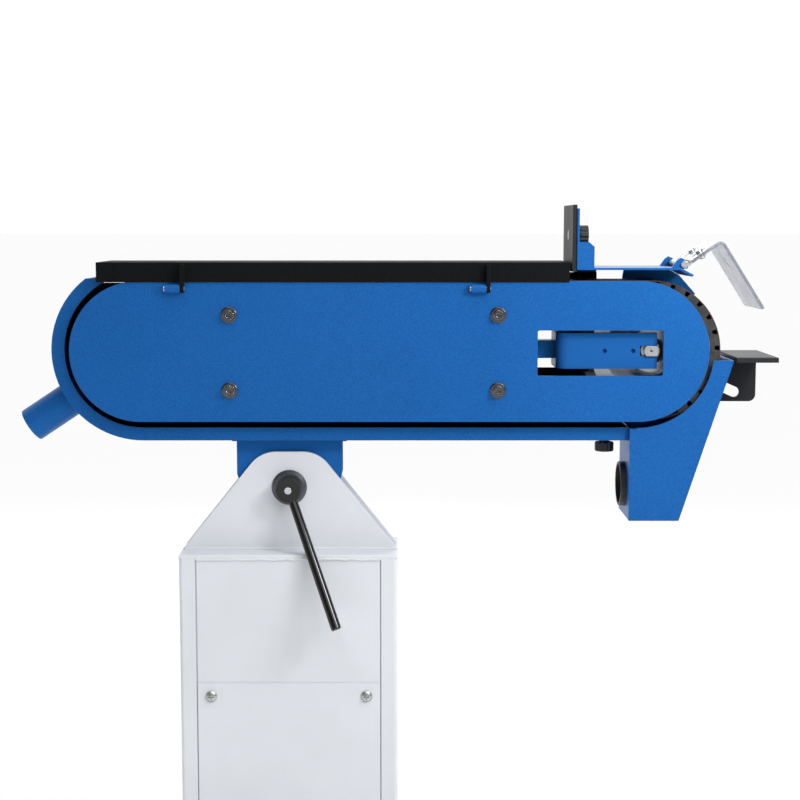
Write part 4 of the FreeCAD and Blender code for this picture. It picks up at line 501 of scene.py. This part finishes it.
def ear_welds():
    """Beads where the pivot ears stand on the column's top plate."""
    plate_thickness = 5 * MM
    ear_thickness = 6 * MM
    running_gap = 0.2 * MM
    end_inset = 4 * MM
    bead_lift = 0.6 * MM
    bead_radius = 2.6 * MM
    bracket_low, bracket_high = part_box("pivot_bracket")
    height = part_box("column_shell")[1].z + plate_thickness + bead_lift
    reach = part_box("column_head")[1].x - end_inset
    front = bracket_low.y - running_gap - ear_thickness
    back = bracket_high.y + running_gap + ear_thickness
    lines = [[(-reach, y, height), (reach, y, height)] for y in (front, back)]
    weld("ear_weld_beads", lines, bead_radius, "stand_paint", "stand")


def panel_weld():
    """The uneven bead where the front panel meets the top plate."""
    flange = 22.6 * MM
    behind_front = 1.2 * MM
    below_top = 1.4 * MM
    wander = 0.9 * MM
    stops = 36
    bead_radius = 2.6 * MM
    low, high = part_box("column_shell")
    face = low.y + behind_front
    height = high.z - below_top
    start = low.x + flange
    width = high.x - flange - start
    line = [(start + width * stop / stops, face, height + random.uniform(-wander, wander))
            for stop in range(stops + 1)]
    weld("panel_weld_bead", [line], bead_radius, "stand_paint", "stand")


def bracket_welds():
    """Beads between the pivot bracket's flange and the belt shell."""
    end_inset = 6 * MM
    below_shell = 0.4 * MM
    bead_radius = 2.2 * MM
    low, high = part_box("pivot_bracket")
    height = high.z - below_shell
    lines = [[(low.x + end_inset, y, height), (high.x - end_inset, y, height)] for y in (low.y, high.y)]
    weld("bracket_weld_beads", lines, bead_radius, "blue_paint", "head")


def guard_welds():
    """Short beads on both sides of each strap where it lies on the guard.

    Pins and straps have their places measured from the start of their hinge barrel.
    """
    cover_sheet = 3 * MM
    guard_sheet = 2 * MM
    pin_start = -2 * MM
    pin_end = 26 * MM
    strap_offset = 20.5 * MM
    strap_thickness = 5 * MM
    bead_start = 5 * MM
    bead_length = 14 * MM
    bead_radius = 1.5 * MM
    pins_low, pins_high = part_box("hinge_pins")
    guard_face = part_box("front_cover")[1].y - cover_sheet - guard_sheet
    bead_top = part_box("top_guard")[1].z - bead_start
    bead_foot = bead_top - bead_length
    lines = []
    for barrel_start in (pins_low.x - pin_start, pins_high.x - pin_end):
        strap_start = barrel_start + strap_offset
        for x in (strap_start, strap_start + strap_thickness):
            lines.append([(x, guard_face, bead_top), (x, guard_face, bead_foot)])
    weld("strap_weld_beads", lines, bead_radius, "black_guard", "top_guard")


def pipe_weld():
    """The toe of the weld round the extraction pipe's foot, on the shell's round end."""
    foot_radius = 30 * MM
    lift = 0.5 * MM
    stops = 240
    bead_radius = 2 * MM
    wheel_low, wheel_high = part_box("drive_wheel")
    centre = (wheel_low + wheel_high) / 2
    shell_radius = centre.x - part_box("belt_shell")[0].x
    mount = next(entry for entry in frame["record"]["mounts"] if entry["name"] == "extraction_outlet")
    outward = Vector(mount["axis"]).normalized()
    across = Vector((outward.z, 0.0, -outward.x))
    depth = Vector((0.0, 1.0, 0.0))
    middle = Vector((centre.x, mount["pos_m"][1], centre.z))
    points = []
    for stop in range(stops):
        angle = 2 * math.pi * stop / stops
        sideways = foot_radius * math.cos(angle)
        reach = math.sqrt(shell_radius ** 2 - sideways ** 2) + lift
        along_depth = foot_radius * math.sin(angle)
        points.append(middle + outward * reach + across * sideways + depth * along_depth)
    mesh_data = bmesh.new()
    add_bead(mesh_data, points, bead_radius, closed=True)
    finished(mesh_data, "pipe_weld_bead", "blue_paint", "head")


def gusset_weld():
    """Beads behind the gusset, up the stop's upright and along the guard sheet."""
    sheet = 3 * MM
    upright_height = 80 * MM
    bead_radius = 1.3 * MM
    up_start, up_end = 2 * MM, 34 * MM
    along_start, along_end = 1 * MM, 18 * MM
    low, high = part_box("wheel_guard")
    x, y, z = low.x + sheet, low.y + sheet, high.z - upright_height
    lines = [[(x, y, z + up_start), (x, y, z + up_end)],
             [(x + along_start, y, z), (x + along_end, y, z)]]
    weld("gusset_weld_beads", lines, bead_radius, "blue_paint", "head")


def lid_screws():
    """Four cross-head screws in the corners of the terminal box's lid."""
    lid_thickness = 5 * MM
    inset = 9 * MM
    head_radius = 3.6 * MM
    head_height = 1.9 * MM
    outward = Vector((1.0, 0.0, 0.0))
    low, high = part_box("terminal_lid")
    mesh_data = bmesh.new()
    for y in (low.y + inset, high.y - inset):
        for z in (low.z + inset, high.z - inset):
            centre = Vector((low.x + lid_thickness, y, z))
            add_screw_head(mesh_data, centre, outward, head_radius, head_height)
    finished(mesh_data, "terminal_lid_screws", "zinc_steel", "head")


# ---------------------------------------------------------------- floor, light and camera

def pale_floor():
    """A wide, nearly white floor under the base plate."""
    width = 400.0
    darker, lighter = (0.95, 0.95, 0.95), (0.97, 0.97, 0.97)
    bpy.ops.mesh.primitive_plane_add(size=width, location=(0.0, 0.0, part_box("base_plate")[0].z))
    floor = bpy.context.object
    floor.name = "studio_floor"
    shader = Shader("pale_floor")
    shader.value("Roughness", 0.9)
    shader.drive("Base Color", shader.mix(shader.noise(0.8, detail=2.0), darker, lighter))
    floor.data.materials.append(shader.material)


def surroundings():
    """White light from all round, bright behind the object and dim in front of it."""
    dim, bright = 0.1, 1.05
    fade = 0.3
    world = bpy.data.worlds.new("studio_world")
    world.use_nodes = True
    tree = world.node_tree
    sky = tree.nodes["Background"]
    sky.inputs["Color"].default_value = (1.0, 1.0, 1.0, 1.0)
    direction = tree.nodes.new("ShaderNodeTexCoord")
    parts = tree.nodes.new("ShaderNodeSeparateXYZ")
    strength = tree.nodes.new("ShaderNodeMapRange")
    for key, number in (("From Min", -fade), ("From Max", fade), ("To Min", dim), ("To Max", bright)):
        strength.inputs[key].default_value = number
    tree.links.new(direction.outputs["Generated"], parts.inputs["Vector"])
    tree.links.new(parts.outputs["Y"], strength.inputs["Value"])
    tree.links.new(strength.outputs["Result"], sky.inputs["Strength"])
    bpy.context.scene.world = world
    bpy.context.scene.view_settings.view_transform = "Standard"


def add_light(name, kind, power):
    """A light in the scene, and the object that holds it."""
    light = bpy.data.lights.new(name, kind)
    light.energy = power
    holder = bpy.data.objects.new(name, light)
    bpy.context.scene.collection.objects.link(holder)
    return light, holder


def lamps():
    """Three soft lamps at the front right, a faint one at the left, one behind, and a soft sun."""
    target = Vector((0.15, 0.0, 0.85))
    areas = (("key_light", (1.15, -1.15, 1.75), 0.3, 6.5),
             ("near_light", (0.78, -0.6, 1.3), 0.2, 3.0),
             ("sheen_light", (1.3, -2.1, 1.5), 0.6, 7.5),
             ("fill_light", (-2.4, -2.8, 2.2), 1.4, 1.5),
             ("back_light", (0.4, 2.8, 2.4), 2.0, 14.0))
    for name, place, size, power in areas:
        lamp, holder = add_light(name, "AREA", power)
        lamp.size = size
        holder.location = place
        holder.rotation_euler = (target - Vector(place)).to_track_quat("-Z", "Y").to_euler()
    ceiling, holder = add_light("ceiling_light", "SUN", 1.65)
    ceiling.angle = math.radians(60)
    holder.rotation_euler = (math.radians(32), math.radians(14), 0.0)


def camera():
    """A long lens 2.2 m in front of the head, tipped slightly down."""
    pitch_down = math.radians(6.35)
    data = bpy.data.cameras.new("front_camera")
    data.lens = 70.74
    data.sensor_width = 36.0
    holder = bpy.data.objects.new("front_camera", data)
    holder.location = (0.1545, -2.239, 1.104)
    holder.rotation_euler = (math.radians(90) - pitch_down, 0.0, 0.0)
    bpy.context.scene.collection.objects.link(holder)
    bpy.context.scene.camera = holder


dress_nodes()
ear_welds()
panel_weld()
bracket_welds()
guard_welds()
pipe_weld()
gusset_weld()
lid_screws()
pale_floor()
surroundings()
lamps()
camera()
